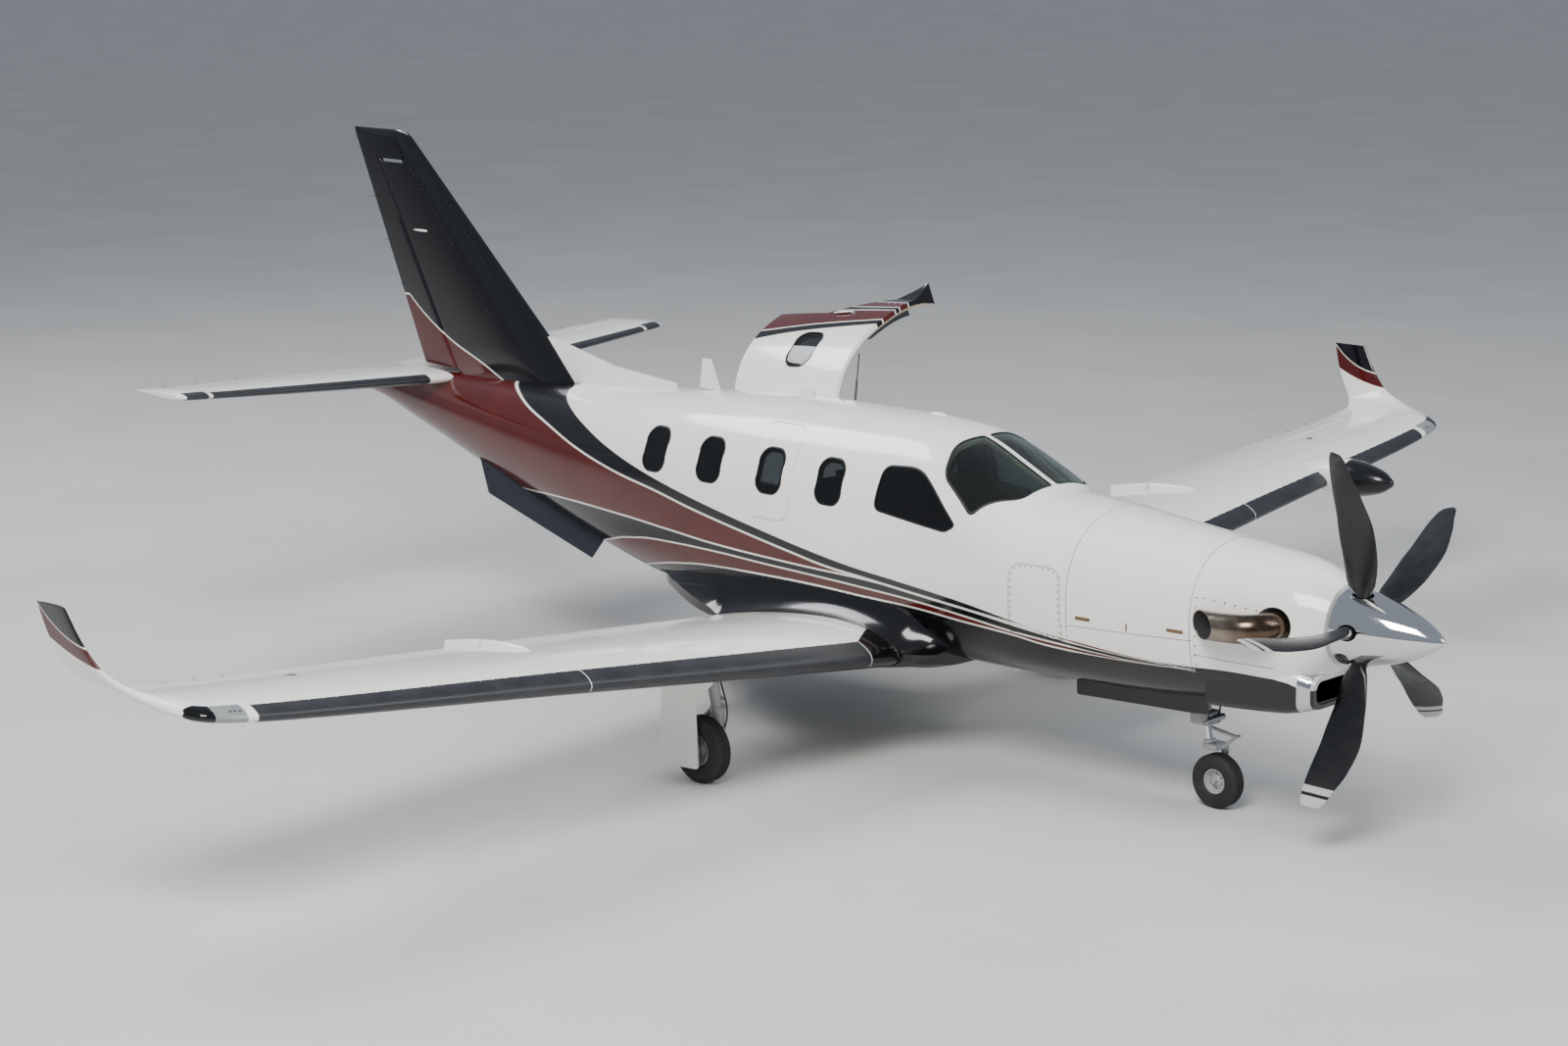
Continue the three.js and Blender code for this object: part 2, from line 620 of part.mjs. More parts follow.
// Door stay: its eye on the closed door, its foot on a bracket that stands on the floor just ahead of the doorway
const STAY = {
  eye: [at(DOOR.front + 16), 548, 1800],
  foot: [446, 985],
  cylinder: 792,
  radius: 13,
  bore: 8,
  sleeve: [764, 1215],
  short: 14,
};
const [stayX, ...openEye] = new THREE.Vector3(...STAY.eye).applyMatrix4(swung).toArray();
const stayBracket = join(
  box(at(DOOR.front - 9), at(DOOR.front - 24), STAY.foot[0] - 18, STAY.foot[0] + 18, FLOOR_Z - 10, STAY.foot[1] + 18),
  bar([at(DOOR.front - 12), ...STAY.foot], [stayX + STAY.radius + GAP, ...STAY.foot], STAY.bore),
);
node("fuselage_cabin", cabin.add(stayBracket).subtract(knuckles(true, KNUCKLE.room)).add(knuckles(false)), WHITE);

// Glass panes, each a thin skin of the same curve, held in its opening
const paneShell = hull(CABIN_FRONT + 1, BULKHEAD - 1, 8).subtract(hull(CABIN_FRONT - 20, BULKHEAD + 20, 18));
for (const side of ["left", "right"]) {
  node(`windshield_${side}`, paneShell.intersect(screenCut(-GAP, side)), GLASS);
  node(`cockpit_window_${side}`, paneShell.intersect(cornered(grown(COCKPIT_WINDOW, -GAP * 2), side)), GLASS);
}
for (const [name, cut] of cabinWindows(-GAP)) {
  if (name === "right_3") continue;
  node(`cabin_window_${name}`, paneShell.intersect(cut), GLASS);
}

// Escape hatch over the right wing, a plug with its own window
const hatchPane = opening(HATCH.station, CABIN_WINDOW.z, CABIN_WINDOW.width, CABIN_WINDOW.height, 92, "right");
const hatchGlass = opening(
  HATCH.station,
  CABIN_WINDOW.z,
  CABIN_WINDOW.width - 2 * GAP,
  CABIN_WINDOW.height - 2 * GAP,
  92,
  "right",
);
node("escape_hatch", skin.intersect(hatchCut(-GAP)).subtract(hatchPane), WHITE);
node("escape_hatch_window", paneShell.intersect(hatchGlass), GLASS);

// Entry door: the skin between its edges, swung up about the hinge, with a lining and a window
const doorGlassCut = (by) =>
  opening(
    DOOR_WINDOW_STATION,
    CABIN_WINDOW.z,
    CABIN_WINDOW.width + 2 * by,
    CABIN_WINDOW.height + 2 * by,
    CABIN_WINDOW.radius + by,
    "left",
  );
const LINING_DEPTH = 120;
const doorLining = hull(CABIN_FRONT + 1, BULKHEAD - 1, WALL - 10)
  .subtract(hull(CABIN_FRONT - 20, BULKHEAD + 20, LINING_DEPTH))
  .intersect(
    cornered(
      [
        [DOOR.front + 75, 1600],
        [DOOR.front + 75, 1080],
        [5760, 1290],
        [6080, 1500],
        [DOOR.rear - 60, 1500],
        [DOOR.rear - 60, 1600],
      ],
      "left",
    ),
  );
// A groove in the door's inner face gives the stay's rod room as the door swings
const stayGroove = hull(5300, 5700, 28).intersect(box(at(DOOR.front + 46), at(DOOR.front + 8), 300, 900, 1840, 1992));
const closedDoor = skin
  .intersect(doorCut(-2, 0))
  .subtract(stayGroove)
  .subtract(doorGlassCut(0))
  .add(doorLining)
  .subtract(knuckles(false, KNUCKLE.room))
  .add(knuckles(true));
const closedDoorGlass = paneShell.intersect(doorGlassCut(-GAP));
node("entry_door", closedDoor.transform(swung.elements), WHITE);
node("entry_door_window", closedDoorGlass.transform(swung.elements), GLASS);

// The stay's gas cylinder, and its rod, thick where it leaves the cylinder and thin up to its eye
const stayLength = Math.hypot(openEye[0] - STAY.foot[0], openEye[1] - STAY.foot[1]);
const onStay = (by) => [stayX, ...STAY.foot.map((v, i) => v + ((openEye[i] - v) * by) / stayLength)];
node(
  "door_stay_cylinder",
  bar(onStay(-14), onStay(STAY.cylinder), STAY.radius, STAY.radius, 12).subtract(
    bar(onStay(22), onStay(STAY.cylinder + 20), STAY.bore, STAY.bore, 12),
  ),
  BLACK,
);
node(
  "door_stay_rod",
  join(
    bar(onStay(STAY.sleeve[0]), onStay(STAY.sleeve[1]), STAY.bore - 0.7, STAY.bore - 0.7, 12),
    bar(onStay(STAY.sleeve[1] - 10), onStay(stayLength - STAY.short), 4.5, 4.5, 12),
  ),
  CHROME,
);

// Engine cowl: a hollow shell with a chin intake, exhaust ports and the engine block inside
const chin = loft(
  [
    [770, 262, 868, 1075],
    [1000, 318, 812, 1120],
    [1500, 400, 790, 1150],
  ].map(([station, half, low, high]) => {
    const corner = 70;
    const steps = [0, 30, 60, 90].map(rad);
    const arc = (cy, cz, start) =>
      steps.map((a) => new THREE.Vector3(at(station), cy + corner * Math.cos(a + start), cz + corner * Math.sin(a + start)));
    return [
      ...arc(half - corner, high - corner, 0),
      ...arc(-half + corner, high - corner, Math.PI / 2),
      ...arc(-half + corner, low + corner, Math.PI),
      ...arc(half - corner, low + corner, 1.5 * Math.PI),
    ];
  }),
);
const intake = loft(
  [
    [760, 232, 896, 1048],
    [1250, 200, 905, 1040],
  ].map(([station, half, low, high]) => {
    const corner = 50;
    const steps = [0, 30, 60, 90].map(rad);
    const arc = (cy, cz, start) =>
      steps.map((a) => new THREE.Vector3(at(station), cy + corner * Math.cos(a + start), cz + corner * Math.sin(a + start)));
    return [
      ...arc(half - corner, high - corner, 0),
      ...arc(-half + corner, high - corner, Math.PI / 2),
      ...arc(-half + corner, low + corner, Math.PI),
      ...arc(half - corner, low + corner, 1.5 * Math.PI),
    ];
  }),
);
const EXHAUST = { station: 1010, z: 1395, radius: 92, stub: 235 };
const HUB = { rear: 640, recess: 90, root: 118 };
const exhaustPorts = bar([at(EXHAUST.station), -700, EXHAUST.z], [at(EXHAUST.station), 700, EXHAUST.z], 120, 120, 20);
const cowlCavity = hull(1330, FIREWALL - GAP, 40);
const shaftHole = bar([at(600), 0, THRUST_Z], [at(1500), 0, THRUST_Z], 130, 130, 20);
const NOSE_BAY = { front: 1580, rear: 2640, half: 255, top: 1030 };
const noseBay = box(at(NOSE_BAY.rear), at(NOSE_BAY.front), -NOSE_BAY.half, NOSE_BAY.half, 400, NOSE_BAY.top);
const cowl = hull(705, CABIN_FRONT - GAP)
  .add(chin)
  .subtract(intake)
  .subtract(cowlCavity.subtract(box(at(2700), at(1300), -600, 600, 600, 1080)))
  .subtract(shaftHole)
  .subtract(noseBay)
  .subtract(exhaustPorts);
node("engine_cowl", cowl, WHITE);
node(
  "engine_block",
  join(
    bar([at(FIREWALL - 2 * GAP), 0, THRUST_Z + 10], [at(1380), 0, THRUST_Z + 10], 300, 300, 16),
    bar([at(1400), 0, THRUST_Z], [at(780), 0, THRUST_Z], 105, 105, 16),
    bar([at(790), 0, THRUST_Z], [at(HUB.rear + GAP), 0, THRUST_Z], 60, 60, 16),
    bar([at(EXHAUST.station), -EXHAUST.stub, EXHAUST.z], [at(EXHAUST.station), EXHAUST.stub, EXHAUST.z], 70, 70, 12),
  ),
  STEEL,
);

// Exhaust stacks: out through the port and turned aft
function exhaust(sign) {
  const path = new THREE.CatmullRomCurve3([
    new THREE.Vector3(at(EXHAUST.station), sign * (EXHAUST.stub + GAP), EXHAUST.z),
    new THREE.Vector3(at(EXHAUST.station), sign * 390, EXHAUST.z),
    new THREE.Vector3(at(EXHAUST.station + 70), sign * 520, EXHAUST.z - 4),
    new THREE.Vector3(at(EXHAUST.station + 190), sign * 560, EXHAUST.z - 10),
    new THREE.Vector3(at(EXHAUST.station + 400), sign * 585, EXHAUST.z - 16),
  ]);
  const outline = new THREE.Shape();
  outline.absellipse(0, 0, EXHAUST.radius, EXHAUST.radius, 0, 2 * Math.PI);
  const pipe = solid(
    new THREE.ExtrudeGeometry(outline, { extrudePath: path, steps: 9, curveSegments: 5, bevelEnabled: false }),
  );
  const bore = bar(
    [at(EXHAUST.station + 150), sign * 552, EXHAUST.z - 8],
    [at(EXHAUST.station + 420), sign * 589, EXHAUST.z - 18],
    82,
    84,
    16,
  );
  const slant = box(at(EXHAUST.station + 240), at(EXHAUST.station + 700), sign * 560, sign * 800, 1200, 1600);
  return pipe.subtract(bore).subtract(slant.rotate([0, 0, 0]).translate([-150, sign * 40, 0]));
}
node("exhaust_right", exhaust(-1), STEEL);
node("exhaust_left", exhaust(1), STEEL);

// Rear fuselage with its two ventral fins
const VENTRAL = { root: [[7310, 300, 1040], [8930, 222, 1540]], edge: [[8632, 360, 1201], [7348, 420, 881]], thickness: 16 };
const ventral = (() => {
  const corners = [...VENTRAL.root, ...VENTRAL.edge].map(([station, y, z]) => new THREE.Vector3(at(station), y, z));
  const across = new THREE.Vector3()
    .crossVectors(corners[1].clone().sub(corners[0]), corners[3].clone().sub(corners[0]))
    .normalize()
    .multiplyScalar(VENTRAL.thickness / 2);
  return loft([corners.map((p) => p.clone().sub(across)), corners.map((p) => p.clone().add(across))]);
})();
const tailBody = hull(BULKHEAD + GAP, LENGTH)
  .subtract(hull(BULKHEAD - 60, 10200, 14))
  .add(ventral)
  .add(mirrorY(ventral));

// Fin, dorsal fin and rudder
const FIN = [
  [1990, 7769, 2015, 0.115],
  [3900, 9900, 742, 0.09],
  [3940, 9960, 695, 0.085],
  [3960, 10040, 620, 0.05],
];
const finRing = ([z, station, chord, thickness]) =>
  profile(thickness, 0).map(([x, h]) => new THREE.Vector3(at(station + x * chord), h * chord, z));
const finWhole = loft(FIN.map(finRing));
const hollowOf = (rows, shape) => loft(rows.map(([f, r, t, ...place]) => shape(f, r, t, ...place)));
const finHollow = hollowOf(
  [
    [7890, 9300, 100, 1900],
    [9720, 10120, 24, 3640],
  ],
  (front, rear, half, z) => [
    new THREE.Vector3(at(front), 0, z),
    new THREE.Vector3(at(front + (rear - front) * 0.3), half, z),
    new THREE.Vector3(at(rear), half * 0.62, z),
    new THREE.Vector3(at(rear), -half * 0.62, z),
    new THREE.Vector3(at(front + (rear - front) * 0.3), -half, z),
  ],
);
const dorsal = loft(
  [
    [6820, 2236, 20],
    [7500, 2290, 40],
    [8200, 2440, 52],
    [8420, 2450, 54],
  ].map(([station, top, half]) => [
    new THREE.Vector3(at(station), -half, 2000),
    new THREE.Vector3(at(station), half, 2000),
    new THREE.Vector3(at(station), 8, top),
    new THREE.Vector3(at(station), -8, top),
  ]),
);
const RUDDER = { low: [at(9395), 0, 2100], high: [at(10340), 0, 3715], base: 2084, horn: 3722, gap: 14 };
function rudderCut(grow) {
  const [low, high] = [RUDDER.low, RUDDER.high];
  const { a } = hingeFrame(low, high);
  const reach = (from, by) => from.map((v, i) => v + a.getComponent(i) * by);
  const halfAt = (z) => {
    const [station, chord, thickness] = smooth(FIN, z);
    const x = low[0] + ((z - low[2]) / (high[2] - low[2])) * (high[0] - low[0]);
    return profileHalf(thickness, (at(station) - x) / chord) * chord;
  };
  const nose = bar(reach(low, -200), reach(high, 60), halfAt(low[2]) + grow + 6, halfAt(high[2]) + grow, 24);
  const behind = behindHinge(low, high, 0, [300, 300], [1, 1]);
  const horn = plate(
    [
      [high[0] + 40, RUDDER.horn - grow * 1.8],
      [at(9955) + grow * 2.1, RUDDER.horn - grow * 1.8],
      [at(10190) + grow, 4100],
      [at(11400), 4100],
      [at(11400), RUDDER.horn - grow * 1.8],
    ],
    800,
    [1, 0, 0],
    [0, 0, 1],
    [0, 400, 0],
  );
  return nose.add(behind).add(horn).intersect(box(at(8000), at(11400), -400, 400, RUDDER.base - grow * 8, 4100));
}
const RUDDER_LUGS = hingeLugs([{ point: RUDDER.low }, { point: RUDDER.high }], [0.4, 0.65, 0.9], 14, 96, 8);
const rudder = finWhole.intersect(rudderCut(0)).subtract(RUDDER_LUGS.slots);
const fin = finWhole.add(dorsal).subtract(rudderCut(RUDDER.gap)).subtract(finHollow).add(RUDDER_LUGS.lugs);
node("rudder", rudder, BLACK);

// Tailplanes with elevators, whose horns carry the tips
const TAIL = [
  [110, 9330, 2010, 1030, 0.11],
  [2340, 9640, 2112, 660, 0.1],
  [2460, 9665, 2118, 632, 0.09],
  [2495, 9710, 2120, 560, 0.05],
];
const tailRing = ([y, station, z, chord, thickness]) =>
  profile(thickness, 0, 8).map(([x, h]) => new THREE.Vector3(at(station + x * chord), y, z + h * chord));
const tailWhole = loft(TAIL.map(tailRing));
const tailAt = (y) => smooth(TAIL, y);
const ELEVATOR = { from: 372, to: 2240, share: 0.68, gap: 11, horn: 9400 };
const elevatorHinge = [ELEVATOR.from, ELEVATOR.to].map((y) => {
  const [station, z, chord, thickness] = tailAt(y);
  return {
    point: [at(station + ELEVATOR.share * chord), y, z],
    half: profileHalf(thickness, ELEVATOR.share) * chord,
  };
});
function elevatorCut(grow) {
  const [low, high] = elevatorHinge.map((end) => end.point);
  const tip = [0, 1, 2].map((i) => high[i] + ((high[i] - low[i]) * 500) / (high[1] - low[1]));
  const { a, f, n } = hingeFrame(low, high);
  const corner = (base, along4, ahead, up) =>
    new THREE.Vector3(...base).addScaledVector(a, along4).addScaledVector(f, ahead).addScaledVector(n, up);
  const horn = loft(
    [-400, 400].map((up) => [
      corner(high, -grow, -900, up),
      corner(high, -grow, 700, up),
      corner(tip, 0, 700, up),
      corner(tip, 0, -900, up),
    ]),
  );
  return behindHinge(
    low,
    high,
    grow,
    [grow, 10],
    elevatorHinge.map((end) => end.half),
  ).add(horn);
}
const tailHollow = hollowOf(
  [
    [9400, 9950, 48, 60, 2006],
    [9670, 10000, 26, 2180, 2106],
  ],
  (front, rear, half, y, z) => [
    new THREE.Vector3(at(front), y, z),
    new THREE.Vector3(at(front + (rear - front) * 0.35), y, z + half),
    new THREE.Vector3(at(rear), y, z + half * 0.6),
    new THREE.Vector3(at(rear), y, z - half * 0.6),
    new THREE.Vector3(at(front + (rear - front) * 0.35), y, z - half),
  ],
);
const ELEVATOR_LUGS = hingeLugs(elevatorHinge, [0.1, 0.5, 0.9], 12, 56, 7);
const tailMain = tailWhole.subtract(elevatorCut(ELEVATOR.gap)).subtract(tailHollow).add(ELEVATOR_LUGS.lugs);
const elevator = tailWhole.intersect(elevatorCut(0)).subtract(ELEVATOR_LUGS.slots);
node("elevator_left", elevator, WHITE);
node("elevator_right", mirrorY(elevator), WHITE);
const rearFuselage = tailBody;
const inflatedBody = hull(BULKHEAD + GAP, LENGTH, -GAP);
node("tailplane_left", tailMain.subtract(inflatedBody), WHITE);
node("tailplane_right", mirrorY(tailMain).subtract(inflatedBody), WHITE);
node("rear_fuselage", rearFuselage, RED);
const inflatedAll = hull(6500, LENGTH, -GAP);
node("fin", fin.subtract(inflatedAll), BLACK);

// Cabin inside: instrument panel, seats and the folded entry steps
node(
  "instrument_panel",
  join(
    box(at(3330), at(3180), -470, 470, FLOOR_Z + 420, 1690),
    box(at(3330), at(2960), -420, 420, 1650, 1690),
    box(at(3330), at(2960), -140, 140, FLOOR_Z + GAP, 1660),
  ),
  PANEL,
);
function seat(station, y, facing, width = 430, foot = width / 2 - 90, heel = 170) {
  const f = facing;
  const x = at(station);
  const back = plate(
    [
      [0, 380],
      [110, 380],
      [-30, 940],
      [-100, 940],
    ],
    width - 20,
    [f, 0, 0],
    [0, 0, 1],
    [x - f * 230, f > 0 ? y + width / 2 - 10 : y - width / 2 + 10, FLOOR_Z],
  );
  return join(
    box(x - 250, x + 250, y - width / 2, y + width / 2, FLOOR_Z + 280, FLOOR_Z + 400),
    back,
    box(x - heel * f, x + 170 * f, y - foot, y + foot, FLOOR_Z + GAP, FLOOR_Z + 300),
  );
}
for (const [name, station, y, facing] of [
  ["pilot_seat", 4120, 270, 1],
  ["copilot_seat", 4120, -270, 1],
  ["cabin_seat_left", 4960, 300, -1],
  ["cabin_seat_right", 4960, -300, -1],
]) {
  node(name, seat(station, y, facing), LEATHER);
}
node("aft_bench", seat(6720, 0, 1, 720, 150, -20), LEATHER);
node(
  "entry_steps",
  join(
    box(at(5480), at(5450), 170, 340, FLOOR_Z + GAP, 1500),
    box(at(6440), at(6410), 170, 340, FLOOR_Z + GAP, 1500),
    ...[0, 1, 2].map((k) => box(at(6430), at(5460), 180, 330, 1010 + 190 * k, 1035 + 190 * k)),
  ),
  ALLOY,
);

// Propeller: spinner, five blades set in its slots, all turning together
const SPINNER = [
  [0, 0],
  [14, 22],
  [90, 78],
  [220, 142],
  [380, 196],
  [540, 232],
  [685, 246],
  [685, HUB.recess],
  [HUB.rear, HUB.recess],
  [HUB.rear, 0],
];
const spinnerWhole = (() => {
  const shape = new THREE.LatheGeometry(
    SPINNER.map(([along2, r]) => new THREE.Vector2(r, along2)),
    20,
  );
  shape.rotateZ(Math.PI / 2);
  shape.translate(at(0), 0, THRUST_Z);
  return solid(shape);
})();
// Blade sections: radius, chord, thickness, pitch in degrees, sweep of the middle of the chord
const BLADE_SECTIONS = [
  [HUB.root + GAP, 104, 96, 100, 0],
  [235, 110, 86, 100, -2],
  [300, 186, 56, 99, -6],
  [400, 222, 42, 97, 4],
  [500, 244, 34, 95, 10],
  [700, 274, 25, 87, 7],
  [900, 248, 18, 80, -30],
  [1050, 190, 12, 76, -72],
  [1120, 152, 9, 74, -86],
  [PROP_RADIUS, 96, 6, 72, -98],
];
const bladeRing = ([radius, chord, thick, pitch, sweep], grow = 0) =>
  Array.from({ length: 10 }, (_, k) => {
    const angle = (2 * Math.PI * k) / 10;
    const along = (chord / 2 + grow) * Math.cos(angle) + sweep;
    const across = (thick / 2 + grow) * Math.sin(angle);
    const [c, s] = [Math.cos(rad(pitch)), Math.sin(rad(pitch))];
    return new THREE.Vector3(along * s + across * c, across * s - along * c, radius);
  });
const spun = (body, k) =>
  body.rotate([FIRST_BLADE_DEG + (360 / BLADES) * k, 0, 0]).translate([at(PROP_STATION - 60), 0, THRUST_Z]);
const blade = loft(BLADE_SECTIONS.map((row) => bladeRing(row)));
const slot = loft(
  [
    [HUB.root, 104, 96, 100, 0],
    [330, 150, 96, 100, -2],
  ].map((row) => bladeRing(row, 8)),
);
let spinner = spinnerWhole;
for (let k = 0; k < BLADES; k++) spinner = spinner.subtract(spun(slot, k));
node("spinner", spinner, CHROME);
for (let k = 0; k < BLADES; k++) node(`propeller_blade_${k + 1}`, spun(blade, k), BLADE);

// Wheels: tyre and rim turned about Y
function turned(outline, place, sides) {
  const shape = new THREE.LatheGeometry(
    outline.map(([r, y]) => new THREE.Vector2(r, y)),
    sides,
  );
  shape.translate(place[0], place[1], place[2]);
  return solid(shape);
}
function tyre({ radius, width, rim }) {
  const w = width / 2;
  return [
    [rim + 0.5, -w * 0.66],
    [radius * 0.74, -w],
    [radius * 0.92, -w * 0.82],
    [radius, -w * 0.3],
    [radius, w * 0.3],
    [radius * 0.92, w * 0.82],
    [radius * 0.74, w],
    [rim + 0.5, w * 0.66],
    [rim + 0.5, -w * 0.66],
  ];
}
function rimProfile({ width, rim }, bore) {
  const w = width / 2;
  return [
    [bore, -w * 0.4],
    [rim * 0.78, -w * 0.34],
    [rim * 0.86, -w * 0.6],
    [rim, -w * 0.6],
    [rim, w * 0.6],
    [rim * 0.86, w * 0.6],
    [rim * 0.78, w * 0.34],
    [bore, w * 0.4],
    [bore, -w * 0.4],
  ];
}
const AXLE = { main: 22, nose: 14 };
for (const [name, wheel, sign, axle] of [
  ["nose", NOSE_WHEEL, 0, AXLE.nose],
  ["main_right", MAIN_WHEEL, -1, AXLE.main],
  ["main_left", MAIN_WHEEL, 1, AXLE.main],
]) {
  const place = [at(wheel.station), sign * wheel.y, wheel.radius];
  node(`${name}_tyre`, turned(tyre(wheel), place, 24), RUBBER);
  node(`${name}_rim`, turned(rimProfile(wheel, axle + 0.6), place, 24), ALLOY);
}

// Main legs: a trailing link leg on the inner side of the wheel, its pivot up in the wing
function mainLeg() {
  const x = at(MAIN_WHEEL.station);
  const y = MAIN_WHEEL.y;
  return join(
    bar([x + 60, y - 20, 838], [x + 30, y - 120, 480], 46, 40, 14),
    bar([x + 30, y - 120, 520], [x + 22, y - 128, 330], 52, 46, 14),
    bar([x - 30, y - 124, 470], [x - 110, y - 124, 400], 24, 20, 10),
    bar([x - 110, y - 124, 410], [x - 10, y - 128, 250], 22, 26, 10),
    box(x - 42, x + 52, y - 160, y - 96, 190, 360),
    bar([x, y - 150, MAIN_WHEEL.radius], [x, y + 62, MAIN_WHEEL.radius], AXLE.main, AXLE.main, 16),
    bar([x + 60, y - 60, 800], [x + 60, y - 520, 838], 22, 22, 10),
    box(x + 40, x + 80, y - 545, y - 505, 815, BAY.top - GAP),
    box(x + 10, x + 110, y - 60, y + 40, 790, BAY.top - GAP),
  );
}
node("main_leg_left", mainLeg().subtract(wingLoft(600, GAP).subtract(bay)), GEAR_GREY);
node("main_leg_right", mirrorY(mainLeg().subtract(wingLoft(600, GAP).subtract(bay))), GEAR_GREY);

// Leg doors on the outer side of each wheel, carried on the leg
const LEG_DOOR = { y: MAIN_WHEEL.y + 96, thickness: 14 };
const legDoor = () =>
  plate(
    [
      [at(4836), 930],
      [at(4340), 930],
      [at(4342), 755],
      [at(4500), 620],
      [at(4537), 560],
      [at(4516), 119],
      [at(4881), 93],
    ],
    LEG_DOOR.thickness,
    [1, 0, 0],
    [0, 0, 1],
    [0, LEG_DOOR.y + LEG_DOOR.thickness, 0],
  );
node("main_gear_door_left", legDoor().subtract(wingLoft(600, GAP)), WHITE);
node("main_gear_door_right", mirrorY(legDoor().subtract(wingLoft(600, GAP))), WHITE);

// Nose leg: the fixed strut, and the fork that steers
const noseX = at(NOSE_WHEEL.station);
const STEER = { lean: 0.2, trail: 18 };
const steerAt = (z) => noseX - STEER.trail - (z - NOSE_WHEEL.radius) * STEER.lean;
const trunnion = NOSE_BAY.half - GAP;
const FORK_TOP = 538.6;
node(
  "nose_leg",
  join(
    bar([steerAt(1000), 0, 1000], [steerAt(600), 0, 600], 44, 44, 16),
    box(steerAt(600) - 90, steerAt(600) + 70, -70, 70, 545, 640),
    bar([steerAt(700) - 260, 0, 860], [steerAt(620) - 40, 0, 600], 18, 18, 10),
    box(steerAt(1000) - 60, steerAt(1000) + 60, -trunnion, trunnion, 960, 1020),
  ),
  GEAR_GREY,
);
node(
  "nose_fork",
  join(
    bar([steerAt(FORK_TOP), 0, FORK_TOP], [steerAt(400), 0, 400], 30, 30, 14),
    box(steerAt(410) - 48, steerAt(410) + 70, -40, 92, 380, 425),
    box(noseX - 36, noseX + 26, 70, 92, NOSE_WHEEL.radius - 28, 400),
    bar([noseX, -52, NOSE_WHEEL.radius], [noseX, 88, NOSE_WHEEL.radius], AXLE.nose, AXLE.nose, 14),
    bar([steerAt(530) + 26, 0, 528], [noseX + 150, 0, 500], 14, 12, 8),
    bar([noseX + 150, 0, 506], [noseX + 30, 0, 405], 12, 14, 8),
  ),
  GEAR_GREY,
);
const NOSE_DOOR = { y: NOSE_BAY.half + 12, thickness: 10 };
for (const [side, sign] of [["left", 1], ["right", -1]]) {
  const door = plate(
    [
      [at(2660), 830],
      [at(1570), 830],
      [at(1575), 704],
      [at(1700), 690],
      [at(2660), 640],
    ],
    NOSE_DOOR.thickness,
    [1, 0, 0],
    [0, 0, 1],
    [0, sign > 0 ? NOSE_DOOR.y + NOSE_DOOR.thickness : -NOSE_DOOR.y, 0],
  );
  node(`nose_gear_door_${side}`, door.subtract(hull(CABIN_FRONT - 1400, CABIN_FRONT, -GAP)), BLACK);
}

export default aircraft;
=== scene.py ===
# %% [markdown]
# A single-engine turboprop light aircraft, parked with its entry door open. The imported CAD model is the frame:
# every piece made here rides on one of its bodies. The CAD solids are faceted and one colour each, so most of
# them are replaced by finer skins of the same shape, made from the same tables of sections.

# %% Frame
import json
import math
import bmesh
import bpy
from mathutils import Matrix, Vector

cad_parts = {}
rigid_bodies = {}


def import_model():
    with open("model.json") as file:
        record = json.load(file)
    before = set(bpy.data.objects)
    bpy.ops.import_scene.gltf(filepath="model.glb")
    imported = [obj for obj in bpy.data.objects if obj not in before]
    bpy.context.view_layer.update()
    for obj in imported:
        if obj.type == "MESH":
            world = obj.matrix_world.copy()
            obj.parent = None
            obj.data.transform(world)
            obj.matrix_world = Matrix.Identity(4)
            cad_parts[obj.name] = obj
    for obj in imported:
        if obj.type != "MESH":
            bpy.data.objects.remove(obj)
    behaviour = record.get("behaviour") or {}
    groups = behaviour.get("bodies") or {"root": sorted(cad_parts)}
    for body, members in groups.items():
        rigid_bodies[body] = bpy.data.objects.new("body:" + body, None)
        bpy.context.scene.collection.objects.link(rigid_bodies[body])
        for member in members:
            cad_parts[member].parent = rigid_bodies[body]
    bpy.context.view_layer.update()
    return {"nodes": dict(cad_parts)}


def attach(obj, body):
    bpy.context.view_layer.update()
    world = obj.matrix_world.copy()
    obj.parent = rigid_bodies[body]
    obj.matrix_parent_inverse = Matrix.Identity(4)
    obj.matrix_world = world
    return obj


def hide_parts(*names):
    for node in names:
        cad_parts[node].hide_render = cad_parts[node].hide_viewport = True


for obj in list(bpy.data.objects):
    bpy.data.objects.remove(obj)
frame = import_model()
nodes = frame["nodes"]

# %% [markdown]
# Lengths are written in millimetres and stations, a distance aft of the spinner's tip, as on an aircraft
# drawing. One function turns a station into Blender's x, and one reads a table of sections with smooth slopes.

# %% Places
MM = 0.001
LENGTH = 10745.0
THRUST_Z = 1386.0
UP = Vector((0, 0, 1))
SIDES = ((-1, "right"), (1, "left"))


def at(station):
    return LENGTH / 2 - station


def place(x, y, z):
    return Vector((x, y, z)) * MM


def smooth(rows, value):
    last = len(rows) - 1
    if value <= rows[0][0]:
        return list(rows[0][1:])
    if value >= rows[last][0]:
        return list(rows[last][1:])
    i = 0
    while rows[i + 1][0] < value:
        i += 1
    span = rows[i + 1][0] - rows[i][0]
    t = (value - rows[i][0]) / span

    def between(a, c):
        return (rows[a + 1][c] - rows[a][c]) / (rows[a + 1][0] - rows[a][0])

    def slope(a, c):
        if a == 0:
            return between(0, c)
        if a == last:
            return between(last - 1, c)
        before, after = between(a - 1, c), between(a, c)
        return 0 if before * after <= 0 else 2 * before * after / (before + after)

    return [
        (2 * t**3 - 3 * t**2 + 1) * rows[i][c]
        + (t**3 - 2 * t**2 + t) * span * slope(i, c)
        + (-2 * t**3 + 3 * t**2) * rows[i + 1][c]
        + (t**3 - t**2) * span * slope(i + 1, c)
        for c in range(1, len(rows[0]))
    ]


def steps(start, end, count):
    return [start + (end - start) * k / count for k in range(count + 1)]


